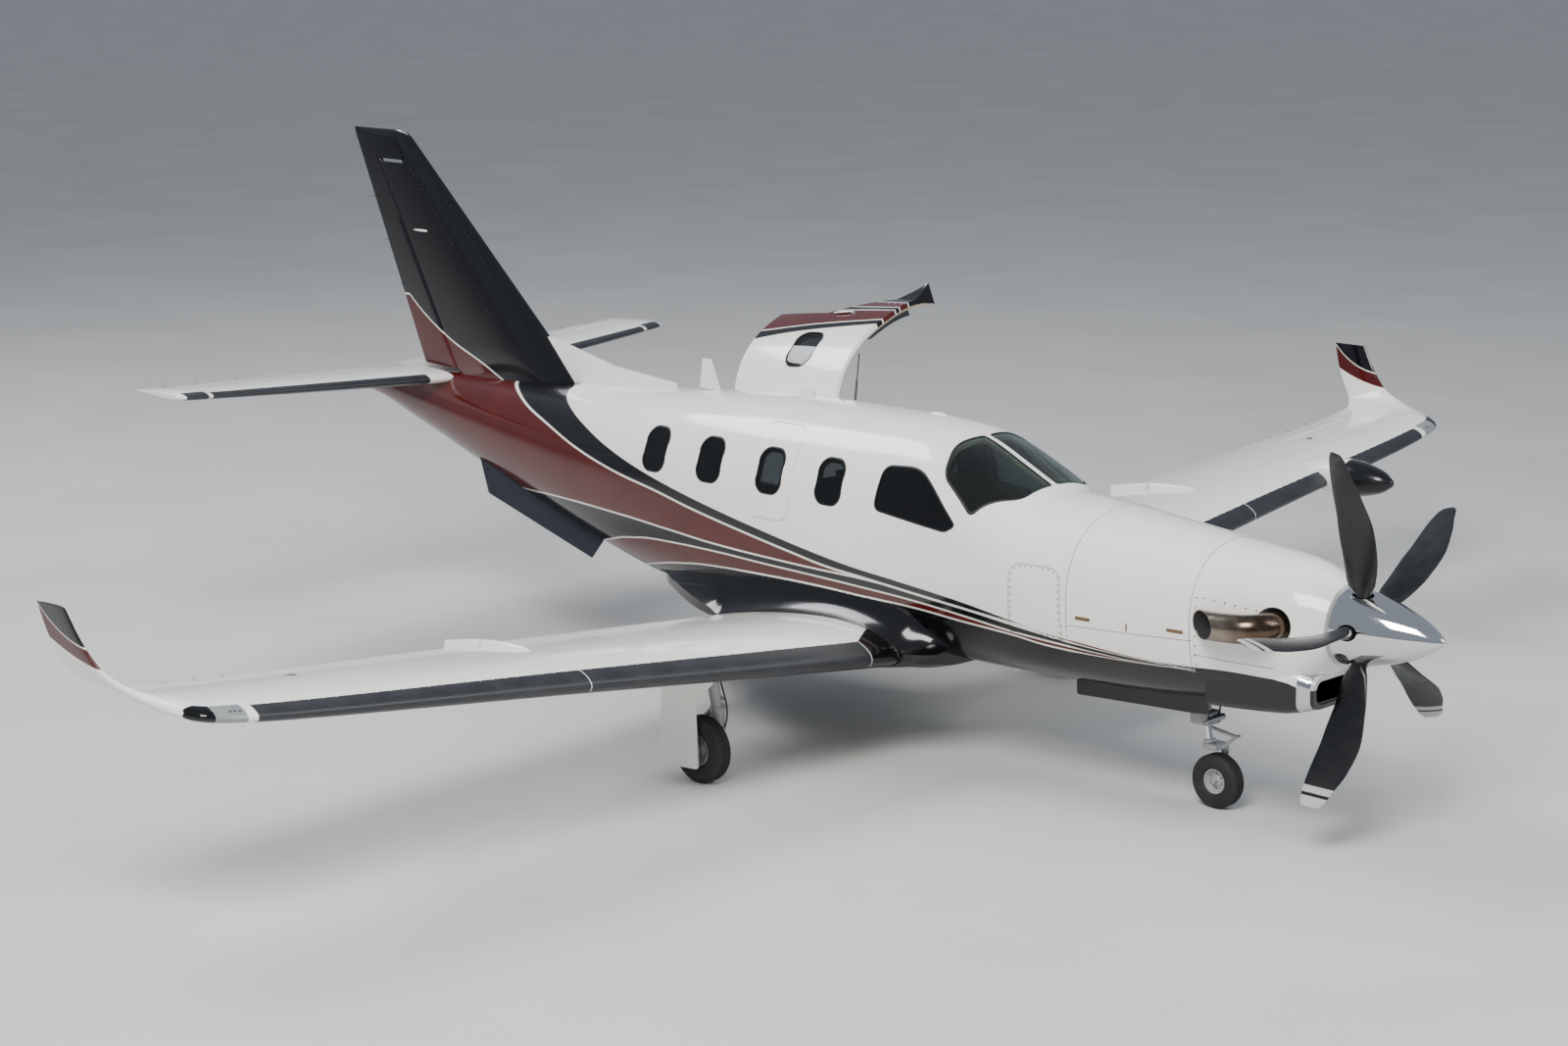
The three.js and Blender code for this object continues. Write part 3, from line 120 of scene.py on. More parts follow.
# %% [markdown]
# The camera stands ahead of the right wing tip and a little above the roof. Its place and lens come from
# matching known points of the aircraft to the photograph.

# %% Camera
CAMERA_PLACE = (15.6549, -15.7490589, 6.12287434)
AZIMUTH, PITCH, ROLL = 2.36302946, -0.210855879, -0.0134855307
PHOTO_WIDTH, FOCAL_PIXELS, SENSOR_MM = 1600, 3198.615, 36


def make_camera():
    look = Vector((math.cos(PITCH) * math.cos(AZIMUTH), math.cos(PITCH) * math.sin(AZIMUTH), math.sin(PITCH)))
    level = look.cross(UP).normalized()
    over = level.cross(look)
    right = level * math.cos(ROLL) + over * math.sin(ROLL)
    up = over * math.cos(ROLL) - level * math.sin(ROLL)
    lens = bpy.data.cameras.new("view")
    lens.sensor_fit, lens.sensor_width = "HORIZONTAL", SENSOR_MM
    lens.lens = FOCAL_PIXELS / PHOTO_WIDTH * SENSOR_MM
    lens.clip_end = 400
    camera = bpy.data.objects.new("view", lens)
    camera.matrix_world = Matrix.Translation(CAMERA_PLACE) @ Matrix((right, up, -look)).transposed().to_4x4()
    bpy.context.collection.objects.link(camera)
    bpy.context.scene.camera = camera


make_camera()

# %% [markdown]
# Materials are node trees. Colours are written as sRGB hex values and turned to linear here. Small helpers add a
# node with its settings and links, mix colours by a noise and let the roughness wander, so a tree reads as a
# short list.

# %% Material helpers


def linear(code):
    parts = [int(code[i : i + 2], 16) / 255 for i in (0, 2, 4)]
    return tuple([c / 12.92 if c <= 0.04045 else ((c + 0.055) / 1.055) ** 2.4 for c in parts] + [1.0])


def add(tree, kind, settings=None, **links):
    """Sockets are given by name, or by number as i0, i1 and so on."""
    made = tree.nodes.new(kind)
    for key, value in (settings or {}).items():
        setattr(made, key, value)
    for key, value in links.items():
        numbered = key[0] == "i" and key[1:].isdigit()
        socket = made.inputs[int(key[1:]) if numbered else key.replace("_", " ")]
        if isinstance(value, bpy.types.NodeSocket):
            tree.links.new(value, socket)
        else:
            socket.default_value = value
    return made


def sum_up(tree, operation, *values):
    inputs = {f"i{k}": value for k, value in enumerate(values)}
    return add(tree, "ShaderNodeMath", {"operation": operation}, **inputs).outputs[0]


def mix(tree, share, first, second):
    return add(tree, "ShaderNodeMix", {"data_type": "RGBA"}, i0=share, i6=first, i7=second).outputs[2]


def noise(tree, where, scale, detail=2.0, roughness=0.5):
    return add(tree, "ShaderNodeTexNoise", Vector=where, Scale=scale, Detail=detail, Roughness=roughness).outputs[0]


def spread(tree, value, low, high, out_low, out_high):
    made = add(tree, "ShaderNodeMapRange", {"clamp": True}, i0=value, i1=low, i2=high, i3=out_low, i4=out_high)
    return made.outputs[0]


def new_material(name):
    made = bpy.data.materials.new(name)
    made.use_nodes = True
    tree = made.node_tree
    tree.nodes.clear()
    shader = add(tree, "ShaderNodeBsdfPrincipled")
    output = add(tree, "ShaderNodeOutputMaterial")
    tree.links.new(shader.outputs[0], output.inputs[0])
    where = add(tree, "ShaderNodeTexCoord").outputs["Object"]
    return made, tree, shader, where


def bump(tree, shader, height, strength, distance):
    made = add(tree, "ShaderNodeBump", Height=height, Strength=strength, Distance=distance)
    tree.links.new(made.outputs[0], shader.inputs["Normal"])


def set_shader(shader, **values):
    for key, value in values.items():
        shader.inputs[key.replace("_", " ")].default_value = value


def colour_with(tree, shader, colour):
    tree.links.new(colour, shader.inputs["Base Color"])


def roughen(tree, shader, pattern, low, high, least, most):
    """Roughness between two values, as a pattern goes from low to high."""
    tree.links.new(spread(tree, pattern, low, high, least, most), shader.inputs["Roughness"])


def mottle(tree, pattern, low, high, first, second, share=1):
    """A colour with up to a share of a second one, as a pattern goes from low to high."""
    return mix(tree, spread(tree, pattern, low, high, 0, share), first, second)


# %% [markdown]
# Aircraft paint is a two-pack polyurethane topcoat under clear lacquer: glossy, with a faint orange peel a few
# millimetres across and a little dust that dulls it in places. The colour scheme of the body is drawn by height
# against the station, as a painter masks it: each masking line is a curve of heights, read by a Float Curve node.

# %% Masking lines
PEEL = 1 / 0.006
SCHEME = {
    "sweep": [
        (1366, 1061), (1832, 1045), (2318, 1077), (2829, 1136), (3376, 1215), (3959, 1272), (4355, 1305),
        (4731, 1353), (5215, 1431), (5716, 1520), (6246, 1626), (6597, 1703), (6982, 1803), (7323, 1908),
        (7600, 2000), (7790, 2075), (7900, 2180), (8000, 2400),
    ],
    "first": [
        (1366, 1000), (4200, 1240), (4619, 1272), (4975, 1325), (5465, 1404), (5977, 1492), (6355, 1566), (6825, 1636),
        (7310, 1732), (7829, 1872), (8118, 1947), (8346, 2018), (8560, 2085), (8700, 2160),
    ],
    "second": [
        (1832, 1035), (2318, 1062), (2829, 1113), (3381, 1173), (3816, 1207), (4269, 1236), (4742, 1238),
        (5229, 1247), (5733, 1264), (6261, 1299), (6847, 1325), (7511, 1327), (8115, 1294), (8700, 1240),
    ],
    "third": [
        (2083, 1022), (2581, 1050), (2975, 1078), (3389, 1120), (3823, 1154), (4279, 1172), (4751, 1184),
        (5238, 1194), (5743, 1207), (6284, 1201), (6721, 1157), (7042, 1086), (7400, 980),
    ],
    "fourth": [
        (1366, 1061), (1601, 1030), (2083, 1012), (2589, 1018), (2981, 1054), (3399, 1076), (3835, 1102),
        (4294, 1108), (4767, 1114), (5258, 1108), (5776, 1089), (6178, 1045), (6457, 993), (6800, 905),
    ],
}
CHIN_LINE = [(700, 1000), (853, 1007), (958, 1032), (1150, 1050), (1366, 1057), (1600, 1040)]


def height_at(tree, station, points):
    first, last = points[0][0], points[-1][0]
    low = min(z for _, z in points) - 20
    high = max(z for _, z in points) + 20
    share = spread(tree, station, first, last, 0, 1)
    made = add(tree, "ShaderNodeFloatCurve", i1=share)
    curve = made.mapping.curves[0]
    scaled = [((s - first) / (last - first), (z - low) / (high - low)) for s, z in points]
    curve.points[0].location = scaled[0]
    curve.points[1].location = scaled[-1]
    for point in scaled[1:-1]:
        curve.points.new(*point)
    made.mapping.update()
    return spread(tree, made.outputs[0], 0, 1, low, high)


def above_line(tree, station, z, points):
    """How far a place stands above a masking line."""
    return sum_up(tree, "SUBTRACT", z, height_at(tree, station, points))


def step_up(tree, value, edge=0.0, soft=1.5):
    return spread(tree, value, edge - soft, edge + soft, 0, 1)


def opposite(tree, share):
    return sum_up(tree, "SUBTRACT", 1.0, share)


def stripe(tree, value, half):
    return opposite(tree, step_up(tree, sum_up(tree, "ABSOLUTE", value), half))


def station_and_height(tree, where, unswing=None):
    """Station, y and height in millimetres; unswing brings the open door back to where it closes."""
    if unswing:
        turn, shift = unswing
        where = add(tree, "ShaderNodeMapping", {"vector_type": "POINT"}, Vector=where, Location=shift, Rotation=turn)
        where = where.outputs[0]
    parts = add(tree, "ShaderNodeSeparateXYZ", Vector=where).outputs
    station = sum_up(tree, "MULTIPLY_ADD", parts[0], -1000.0, LENGTH / 2)
    y = sum_up(tree, "MULTIPLY", parts[1], 1000.0)
    z = sum_up(tree, "MULTIPLY", parts[2], 1000.0)
    return station, y, z


PAINT = {"white": "f4f3ee", "black": "0a0a0d", "maroon": "4a0f0c", "line": "e9e7e0"}
TONE = {key: linear(code) for key, code in PAINT.items()}


def lacquer(tree, shader, where, colour, rough=0.12):
    colour_with(tree, shader, colour)
    roughen(tree, shader, noise(tree, where, 2.2, 5.0, 0.6), 0.3, 0.75, rough, rough + 0.09)
    bump(tree, shader, noise(tree, where, PEEL, 1.0), 0.05, 0.0004)
    set_shader(shader, IOR=1.45, Coat_Weight=0.4, Coat_Roughness=0.03, Coat_IOR=1.45)


LEFT_RISE = [(4300, 0), (5300, 78), (6000, 85), (6700, 80), (7600, 0)]
LINE_HALVES = {"first": 8.0, "second": 7.0, "third": 6.5, "fourth": 6.5}
NOSE_PAINT_END, LINES_START, LINES_FULL, MAROON_START = 1480, 1560, 2500, 1900


def body_paint(name, unswing=None):
    """Black and maroon fields under a white sweep, with a white line along each masking line."""
    made, tree, shader, where = new_material(name)
    station, y, z = station_and_height(tree, where, unswing)
    rise = height_at(tree, station, LEFT_RISE)
    z = sum_up(tree, "SUBTRACT", z, sum_up(tree, "MULTIPLY", rise, spread(tree, y, 100, 300, 0, 1)))
    above = {key: above_line(tree, station, z, points) for key, points in SCHEME.items()}
    black, white = TONE["black"], TONE["white"]
    worn = mottle(tree, noise(tree, where, 3.0, 3.0), 0.35, 0.7, TONE["maroon"], linear("581611"), 0.6)
    colour = black
    for key, tone in (("fourth", worn), ("third", black), ("second", worn), ("first", black)):
        colour = mix(tree, step_up(tree, above[key]), colour, tone)
    colour = mix(tree, step_up(tree, station, MAROON_START), black, colour)
    over_sweep = step_up(tree, above["sweep"])
    colour = mix(tree, over_sweep, colour, white)
    aft = step_up(tree, station, LINES_START)
    thinner = spread(tree, station, LINES_START, LINES_FULL, 7, 1)
    for key, half in LINE_HALVES.items():
        on_line = sum_up(tree, "MULTIPLY", stripe(tree, sum_up(tree, "MULTIPLY", above[key], thinner), half), aft)
        colour = mix(tree, sum_up(tree, "MULTIPLY", on_line, opposite(tree, over_sweep)), colour, TONE["line"])
    nose = mix(tree, step_up(tree, above_line(tree, station, z, CHIN_LINE)), black, white)
    colour = mix(tree, opposite(tree, step_up(tree, station, NOSE_PAINT_END)), colour, nose)
    lacquer(tree, shader, where, colour)
    return made


def plain_paint(name, key, rough=0.12):
    made, tree, shader, where = new_material(name)
    base = linear(key)
    dull = tuple([c * 0.86 for c in base[:3]] + [1.0])
    lacquer(tree, shader, where, mottle(tree, noise(tree, where, 1.7, 4.0), 0.3, 0.8, base, dull, 0.5), rough)
    return made


scheme_paint = body_paint("polyurethane_topcoat_scheme")
white_paint = plain_paint("polyurethane_topcoat_white", PAINT["white"])
black_paint = plain_paint("polyurethane_topcoat_black", PAINT["black"])
navy_paint = plain_paint("polyurethane_topcoat_navy", "23262f", 0.2)
print("paints:", len(bpy.data.materials))

# %% [markdown]
# Meshes are made in millimetres and kept in place, so every object sits at the origin. A loft joins rings of
# points into a closed skin. Openings are cut with booleans, baked at once, so that no modifier is left.

# %% Mesh helpers


def build(name, points, faces):
    mesh = bpy.data.meshes.new(name)
    mesh.from_pydata([Vector(p) * MM for p in points], [], faces)
    made = bpy.data.objects.new(name, mesh)
    bpy.context.collection.objects.link(made)
    shape = bmesh.new()
    shape.from_mesh(mesh)
    bmesh.ops.recalc_face_normals(shape, faces=shape.faces)
    shape.to_mesh(mesh)
    shape.free()
    return made


def loft(name, rings, closed=False):
    count, total = len(rings[0]), len(rings)
    faces = []
    for r in range(total if closed else total - 1):
        n = (r + 1) % total
        for k in range(count):
            m = (k + 1) % count
            faces.append((r * count + k, r * count + m, n * count + m, n * count + k))
    if not closed:
        faces.append(tuple(reversed(range(count))))
        faces.append(tuple(range((total - 1) * count, total * count)))
    return build(name, [p for ring in rings for p in ring], faces)


def box(name, x0, x1, y0, y1, z0, z1):
    corners = [[(x, y0, z0), (x, y1, z0), (x, y1, z1), (x, y0, z1)] for x in (min(x0, x1), max(x0, x1))]
    return loft(name, corners)


def circle_frame(direction):
    direction = Vector(direction).normalized()
    first = direction.orthogonal().normalized()
    return first, direction.cross(first)


def circle(middle, u, v, r, sides):
    turns = [2 * math.pi * k / sides for k in range(sides)]
    return [middle + u * r * math.cos(a) + v * r * math.sin(a) for a in turns]


def bar(name, start, end, radius, end_radius=None, sides=32):
    u, v = circle_frame(Vector(end) - Vector(start))
    end_radius = radius if end_radius is None else end_radius
    return loft(name, [circle(Vector(start), u, v, radius, sides), circle(Vector(end), u, v, end_radius, sides)])


def plate(name, outline, depth, u_axis, v_axis, origin):
    u, v, start = Vector(u_axis), Vector(v_axis), Vector(origin)
    w = u.cross(v)
    return loft(name, [[start + u * a + v * b + w * d for a, b in outline] for d in (0, depth)])


def lathe(name, outline, centre, axis, sides=64, closed=False):
    """Turns an outline of (distance along the axis, radius) pairs."""
    direction = Vector(axis).normalized()
    u, v = circle_frame(direction)
    rings = [circle(Vector(centre) + direction * along, u, v, r, sides) for along, r in outline]
    return loft(name, rings, closed)


def drop(obj):
    mesh = obj.data
    bpy.data.objects.remove(obj)
    bpy.data.meshes.remove(mesh)


def bake(obj):
    ready = obj.evaluated_get(bpy.context.evaluated_depsgraph_get())
    mesh = bpy.data.meshes.new_from_object(ready)
    old = obj.data
    obj.modifiers.clear()
    obj.data = mesh
    bpy.data.meshes.remove(old)


def combine(target, other, how="DIFFERENCE"):
    cut = target.modifiers.new("cut", "BOOLEAN")
    cut.operation, cut.solver, cut.object = how, "MANIFOLD", other
    bake(target)
    drop(other)
    return target


def subtract(target, *others):
    for other in others:
        combine(target, other)
    return target


def add_on(target, *others):
    for other in others:
        combine(target, other, "UNION")
    return target


def mirrored(obj, name):
    made = obj.copy()
    made.data = obj.data.copy()
    made.name = name
    bpy.context.collection.objects.link(made)
    made.data.transform(Matrix.Scale(-1, 4, (0, 1, 0)))
    made.data.flip_normals()
    return made


def merge(name, objects):
    """Several loose meshes made one object, its parts not joined to each other."""
    shape = bmesh.new()
    for obj in objects:
        shape.from_mesh(obj.data)
        drop(obj)
    mesh = bpy.data.meshes.new(name)
    shape.to_mesh(mesh)
    shape.free()
    made = bpy.data.objects.new(name, mesh)
    bpy.context.collection.objects.link(made)
    return made


def shade(obj, angle=32):
    shape = bmesh.new()
    shape.from_mesh(obj.data)
    bmesh.ops.remove_doubles(shape, verts=shape.verts, dist=1e-6)
    limit = math.radians(angle)
    for edge in shape.edges:
        edge.smooth = len(edge.link_faces) == 2 and edge.calc_face_angle(0) < limit
    for face in shape.faces:
        face.smooth = True
    shape.to_mesh(obj.data)
    shape.free()


def coat(obj, material):
    obj.data.materials.clear()
    obj.data.materials.append(material)


def dress(obj, body, slot, material, angle=32, replaces=()):
    """Gives a piece its finish and its body, and hides the nodes of the frame that it replaces; slot is not used."""
    coat(obj, material)
    shade(obj, angle)
    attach(obj, body)
    if replaces:
        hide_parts(*replaces)
    return obj


# %% [markdown]
# The fuselage is a row of rounded sections: each has a top, a bottom, a half width, the height where it is
# widest, and how square it is above and below that. Points on its side or roof are found from the same table,
# so seals, panel lines and screws can lie exactly on the skin.

# %% Fuselage sections
SECTIONS = [
    [705, 1652, 1125, 262, 1386, 2.0, 2.0],
    [860, 1722, 960, 335, 1380, 2.05, 2.1],
    [1050, 1768, 838, 392, 1370, 2.1, 2.3],
    [1500, 1806, 768, 470, 1345, 2.15, 2.5],
    [2100, 1856, 724, 548, 1345, 2.2, 2.6],
    [2720, 1905, 698, 606, 1360, 2.25, 2.6],
    [3000, 1918, 690, 626, 1380, 2.3, 2.6],
    [3060, 1940, 688, 629, 1385, 2.35, 2.6],
    [3330, 2064, 684, 640, 1410, 2.6, 2.6],
    [3640, 2200, 680, 650, 1440, 2.6, 2.6],
    [3900, 2266, 678, 655, 1465, 2.45, 2.6],
    [4300, 2296, 676, 658, 1480, 2.35, 2.6],
    [5400, 2290, 680, 658, 1480, 2.3, 2.6],
    [6100, 2255, 720, 652, 1490, 2.3, 2.5],
    [6700, 2205, 800, 618, 1510, 2.3, 2.4],
    [7450, 2150, 955, 536, 1560, 2.25, 2.3],
    [8200, 2105, 1135, 430, 1640, 2.2, 2.2],
    [9000, 2068, 1350, 310, 1730, 2.1, 2.1],
    [9800, 2026, 1580, 185, 1810, 2.0, 2.0],
    [10500, 1960, 1770, 80, 1865, 2.0, 2.0],
    [LENGTH, 1925, 1800, 48, 1865, 2.0, 2.0],
]
RING = 112


def section_ring(station, inset=0.0, floor=-1e9):
    top, bottom, half, wide, upper, lower = smooth(SECTIONS, station)
    ring = []
    for k in range(RING):
        angle = 2 * math.pi * k / RING
        c, s = math.cos(angle), math.sin(angle)
        power = 2 / (upper if s >= 0 else lower)
        height = top - wide if s >= 0 else wide - bottom
        y = (half - inset) * math.copysign(abs(c) ** power, c)
        z = wide + (height - inset) * math.copysign(abs(s) ** power, s)
        ring.append((at(station), y, max(z, floor)))
    return ring


def hull(name, start, end, inset=0.0, floor=-1e9, pitch=55):
    count = max(2, round((end - start) / pitch))
    return loft(name, [section_ring(s, inset, floor) for s in steps(start, end, count)])


def side_y(station, z):
    top, bottom, half, wide, upper, lower = smooth(SECTIONS, station)
    reach, power = ((z - wide) / (top - wide), upper) if z > wide else ((wide - z) / (wide - bottom), lower)
    return half * max(0.0, 1 - abs(reach) ** power) ** (1 / power)


def roof_z(station, y):
    top, _, half, wide, upper, _ = smooth(SECTIONS, station)
    return wide + (top - wide) * max(0.0, 1 - (abs(y) / half) ** upper) ** (1 / upper)


def faced(normal, outward):
    return normal if normal.dot(outward) >= 0 else -normal


def on_side(station, z, side, proud=0.0):
    here = Vector((at(station), side * side_y(station, z), z))
    along = Vector((at(station + 4), side * side_y(station + 4, z), z)) - here
    up = Vector((at(station), side * side_y(station, z + 4), z + 4)) - here
    normal = faced(along.cross(up).normalized(), Vector((0, side, 0)))
    return here + normal * proud, normal


def on_roof(station, y, proud=0.0):
    here = Vector((at(station), y, roof_z(station, y)))
    along = Vector((at(station + 4), y, roof_z(station + 4, y))) - here
    step = 3 if y <= 0 else -3
    over = Vector((at(station), y + step, roof_z(station, y + step))) - here
    normal = faced(along.cross(over).normalized(), UP)
    return here + normal * proud, normal


# %% [markdown]
# A seal, a frame or a panel line is a narrow strip laid along an outline on the skin. The outline is given in
# station and height (or station and distance from the middle, for the roof), and the strip's cross-section in
# offsets outward and proud of the skin.

# %% Outlines and strips


def curve(start, bend, end, t):
    return (1 - t) ** 2 * start + 2 * t * (1 - t) * bend + t**2 * end


def rounded(corners, radius, pieces=6):
    """A closed outline with its corners rounded, from a list of corner points."""
    outline = []
    count = len(corners)
    for i in range(count):
        p, a, b = (Vector(corners[j % count]) for j in (i, i - 1, i + 1))
        r = radius[i] if isinstance(radius, list) else radius
        start, end = (p + (q - p).normalized() * min(r, (q - p).length * 0.48) for q in (a, b))
        outline += [curve(start, p, end, t) for t in steps(0, 1, pieces)]
    return dense(outline, True)


def dense(outline, closed, pitch=25.0):
    made = []
    count = len(outline)
    for i in range(count if closed else count - 1):
        a, b = Vector(outline[i]), Vector(outline[(i + 1) % count])
        parts = max(1, math.ceil((b - a).length / pitch))
        made += [a.lerp(b, k / parts) for k in range(parts)]
    if not closed:
        made.append(Vector(outline[-1]))
    return made


def corner_arcs():
    """Round a box with rounded corners: each corner's signs, with the cosine and sine along its arc."""
    for across, up, start in ((1, 1, 0), (-1, 1, 90), (-1, -1, 180), (1, -1, 270)):
        for k in range(9):
            a = math.radians(start + 90 * k / 8)
            yield across, up, math.cos(a), math.sin(a)


def pane_outline(station, z, width, height, r):
    w, h = width / 2 - r, height / 2 - r
    return [Vector((station - (across * w + r * c), z + up * h + r * s)) for across, up, c, s in corner_arcs()]


def winding(outline):
    """1 or -1, by the way round that an outline runs."""
    pairs = zip(outline, outline[1:] + outline[:1])
    return 1 if sum(a.x * b.y - b.x * a.y for a, b in pairs) > 0 else -1


def grown(outline, by):
    """A closed outline moved outward."""
    turn, count = winding(outline), len(outline)
    made = []
    for i, spot in enumerate(outline):
        along = (outline[(i + 1) % count] - outline[i - 1]).normalized()
        made.append(spot + Vector((along.y, -along.x)) * turn * by)
    return made


def strip(name, outline, surface, section, closed=True):
    """Sweeps a closed cross-section of (outward, proud) pairs along an outline that lies on a surface."""
    turn, count = winding(outline), len(outline)
    rings = []
    for i, spot in enumerate(outline):
        before = outline[i - 1] if closed or i > 0 else spot
        after = outline[(i + 1) % count] if closed or i + 1 < count else spot
        along = (after - before).normalized()
        out = Vector((along.y, -along.x)) * turn
        rings.append([surface(*(spot + out * offset), proud)[0] for offset, proud in section])
    return loft(name, rings, closed)


def side_strip(name, outline, side, section, closed=True):
    return strip(name, outline, lambda s, z, proud: on_side(s, z, side, proud), section, closed)


def prism(name, outline, side, near=250, far=900):
    """An outline in station and height, extruded through one side wall."""
    return loft(name, [[(at(p[0]), y, p[1]) for p in outline] for y in (side * near, side * far)])


def roof_prism(name, outline):
    """An outline in station and y, extruded up through the roof."""
    return loft(name, [[(at(p[0]), p[1], z) for p in outline] for z in (1600, 2500)])


# %% [markdown]
# Wings and tail are rows of wing profiles, a thickness laid about a mean line. The wing's table comes before the
# skins because the root fairing is fitted to it. A row has its place in the table, then y, the station of the
# leading edge, height, chord, thickness and cant. The last rows turn up into the winglet.

# %% Wing profile and surface
CAMBER, BLUNT, ROOT_Y = 0.018, 0.0016, 760
WING = [
    [0, 0, 3790, 690, 1880, 0.16, 0],
    [1, 760, 3826, 776, 1800, 0.155, 0],
    [4, 3400, 3958, 1077, 1415, 0.145, 0],
    [7, 5850, 4080, 1356, 1045, 0.125, 0],
    [8, 6080, 4130, 1390, 990, 0.115, 6],
    [9, 6190, 4250, 1418, 850, 0.11, 20],
    [10, 6290, 4560, 1490, 590, 0.1, 42],
    [11, 6342, 4800, 1580, 430, 0.095, 62],
    [12, 6376, 4960, 1740, 360, 0.09, 74],
    [13, 6402, 5080, 1930, 300, 0.085, 78],
]


def half_thickness(thickness, x):
    return 5 * thickness * (0.2969 * math.sqrt(x) - 0.126 * x - 0.3516 * x**2 + 0.2843 * x**3 - 0.1036 * x**4)


def mean_line(camber, x):
    return (camber / 0.16) * (0.8 * x - x * x) if x < 0.4 else (camber / 0.36) * (0.2 + 0.8 * x - x * x)


def profile(thickness, camber, count=30):
    """Points round a wing profile of chord 1, from the trailing edge over the top and back."""
    shares = [(1 - math.cos(math.pi * k / count)) / 2 for k in range(count + 1)]
    over = [(x, mean_line(camber, x) + half_thickness(thickness, x) + BLUNT) for x in reversed(shares)]
    under = [(x, mean_line(camber, x) - half_thickness(thickness, x) - BLUNT) for x in shares[1:]]
    return over + under


def wing_at(y):
    return smooth([row[1:] for row in WING], y)


def wing_surface(y, station):
    """Heights of the wing's upper and lower skin."""
    front, z, chord, thickness, _ = wing_at(y)
    x = min(1.0, max(0.0, (station - front) / chord))
    line, half = mean_line(CAMBER, x), half_thickness(thickness, x) + BLUNT
    return z + (line + half) * chord, z + (line - half) * chord


# %% [markdown]
# The skins of cowl, cabin and tail are lofts with their openings cut out, and the cabin's walls are about 30 mm
# thick, so that the openings show a real edge. Behind the cabin's skin lies a lining of its own, in cream trim.

# %% Cutters shared by skin, lining and panes
CABIN_FRONT, BULKHEAD = 2720, 7300
DOOR = {"front": 5490, "rear": 6575, "hinge_y": 350, "z": (2202, 2158), "open": 110.5}
DOOR_LOW = {"front": 905, "bend": (6100, 1420), "rear": 1430, "top": 2500}
WINDOW = {"z": 1862, "width": 252, "height": 316, "r": 92}
WINDOWS = {
    "right_1": (6425, -1),
    "right_2": (5825, -1),
    "right_4": (4617, -1),
    "left_3": (5220, 1),
    "left_4": (4617, 1),
}
HATCH = {"station": 5206, "z": 1850, "width": 440, "height": 640, "r": 105}
DOOR_WINDOW = 5990
COCKPIT = [(4150, 2030), (3850, 2050), (3700, 1960), (3440, 1720), (3520, 1668), (4170, 1735)]
COCKPIT_ROUND = [70, 110, 110, 34, 34, 60]
SCREEN = [(3095, 26), (3095, 330), (3335, 575), (3640, 505), (3725, 300), (3700, 26)]
SCREEN_ROUND = [22, 70, 40, 60, 90, 22]


def window_outline(station):
    return pane_outline(station, **WINDOW)


def screen_outline(side):
    return rounded([(s, side * y) for s, y in SCREEN], SCREEN_ROUND)


cockpit_outline = rounded(COCKPIT, COCKPIT_ROUND)
hatch_outline = pane_outline(**HATCH)
hatch_window = window_outline(HATCH["station"])
door_window = window_outline(DOOR_WINDOW)


def door_outline(clear):
    """The door's edge, opened up by a clearance; its front edge reaches lower than the rest."""
    front, rear, top = DOOR["front"] - clear, DOOR["rear"] + clear, DOOR_LOW["top"]
    low = (front, DOOR_LOW["front"] - 2 * clear)
    bend = (DOOR_LOW["bend"][0] + clear * 0.4, DOOR_LOW["bend"][1] - clear)
    corners = ((front, top), low, bend, (rear, DOOR_LOW["rear"] - clear), (rear, top))
    return [Vector(p) for p in corners]


def door_prism(clear, hinge_clear):
    return prism("door_cut", door_outline(clear), 1, DOOR["hinge_y"] - hinge_clear, 900)


def cut_windows(target, by):
    for station, side in WINDOWS.values():
        subtract(target, prism("cut", grown(window_outline(station), by), side))
    for side in (-1, 1):
        subtract(target, prism("cut", grown(cockpit_outline, by), side))
        subtract(target, roof_prism("cut", grown(screen_outline(side), by)))
    return target


# %% Belly fairing: station, outer y, upper and lower edge, where it meets the side, belly
ON_WING = (3880, 5600)
FAIRING = [
    [3620, 600, 800, 770, 840, 690],
    [3700, 712, 806, 756, 920, 676],
    [3790, 752, 806, 752, 985, 670],
    [3880, 760, 0, 0, 1065, 665],
    [4060, 760, 0, 0, 1105, 660],
    [4400, 760, 0, 0, 1120, 655],
    [4900, 760, 0, 0, 1118, 656],
    [5350, 760, 0, 0, 1108, 666],
    [5600, 760, 0, 0, 1090, 684],
    [5720, 738, 822, 768, 1072, 694],
    [5860, 700, 836, 772, 1048, 702],
    [6000, 655, 852, 786, 1020, 712],
    [6150, 600, 872, 806, 990, 726],
    [6300, 540, 892, 834, 955, 748],
    [6450, 470, 906, 862, 925, 775],
    [6560, 380, 905, 890, 915, 812],
]


def fairing_row(station):
    """A row of the table, with its edges laid on the wing's skin where the wing is under it."""
    table = []
    for row in FAIRING:
        over, under = wing_surface(ROOT_Y, row[0])
        table.append([row[0], row[1], row[2] or over + 4, row[3] or under - 4, row[4], row[5]])
    outer, top, bottom, meets, belly = smooth(table, station)
    if ON_WING[0] <= station <= ON_WING[1]:
        over, under = wing_surface(ROOT_Y, station)
        top, bottom = over + 4, under - 4
    return outer, top, bottom, meets, belly


def fairing_fillet(station, t):
    outer, top, _, meets, _ = fairing_row(station)
    start = Vector((side_y(station, meets) + 1, meets))
    end = Vector((outer, top))
    return curve(start, Vector((start.x + 14, end.y + 0.32 * (meets - end.y))), end, t)


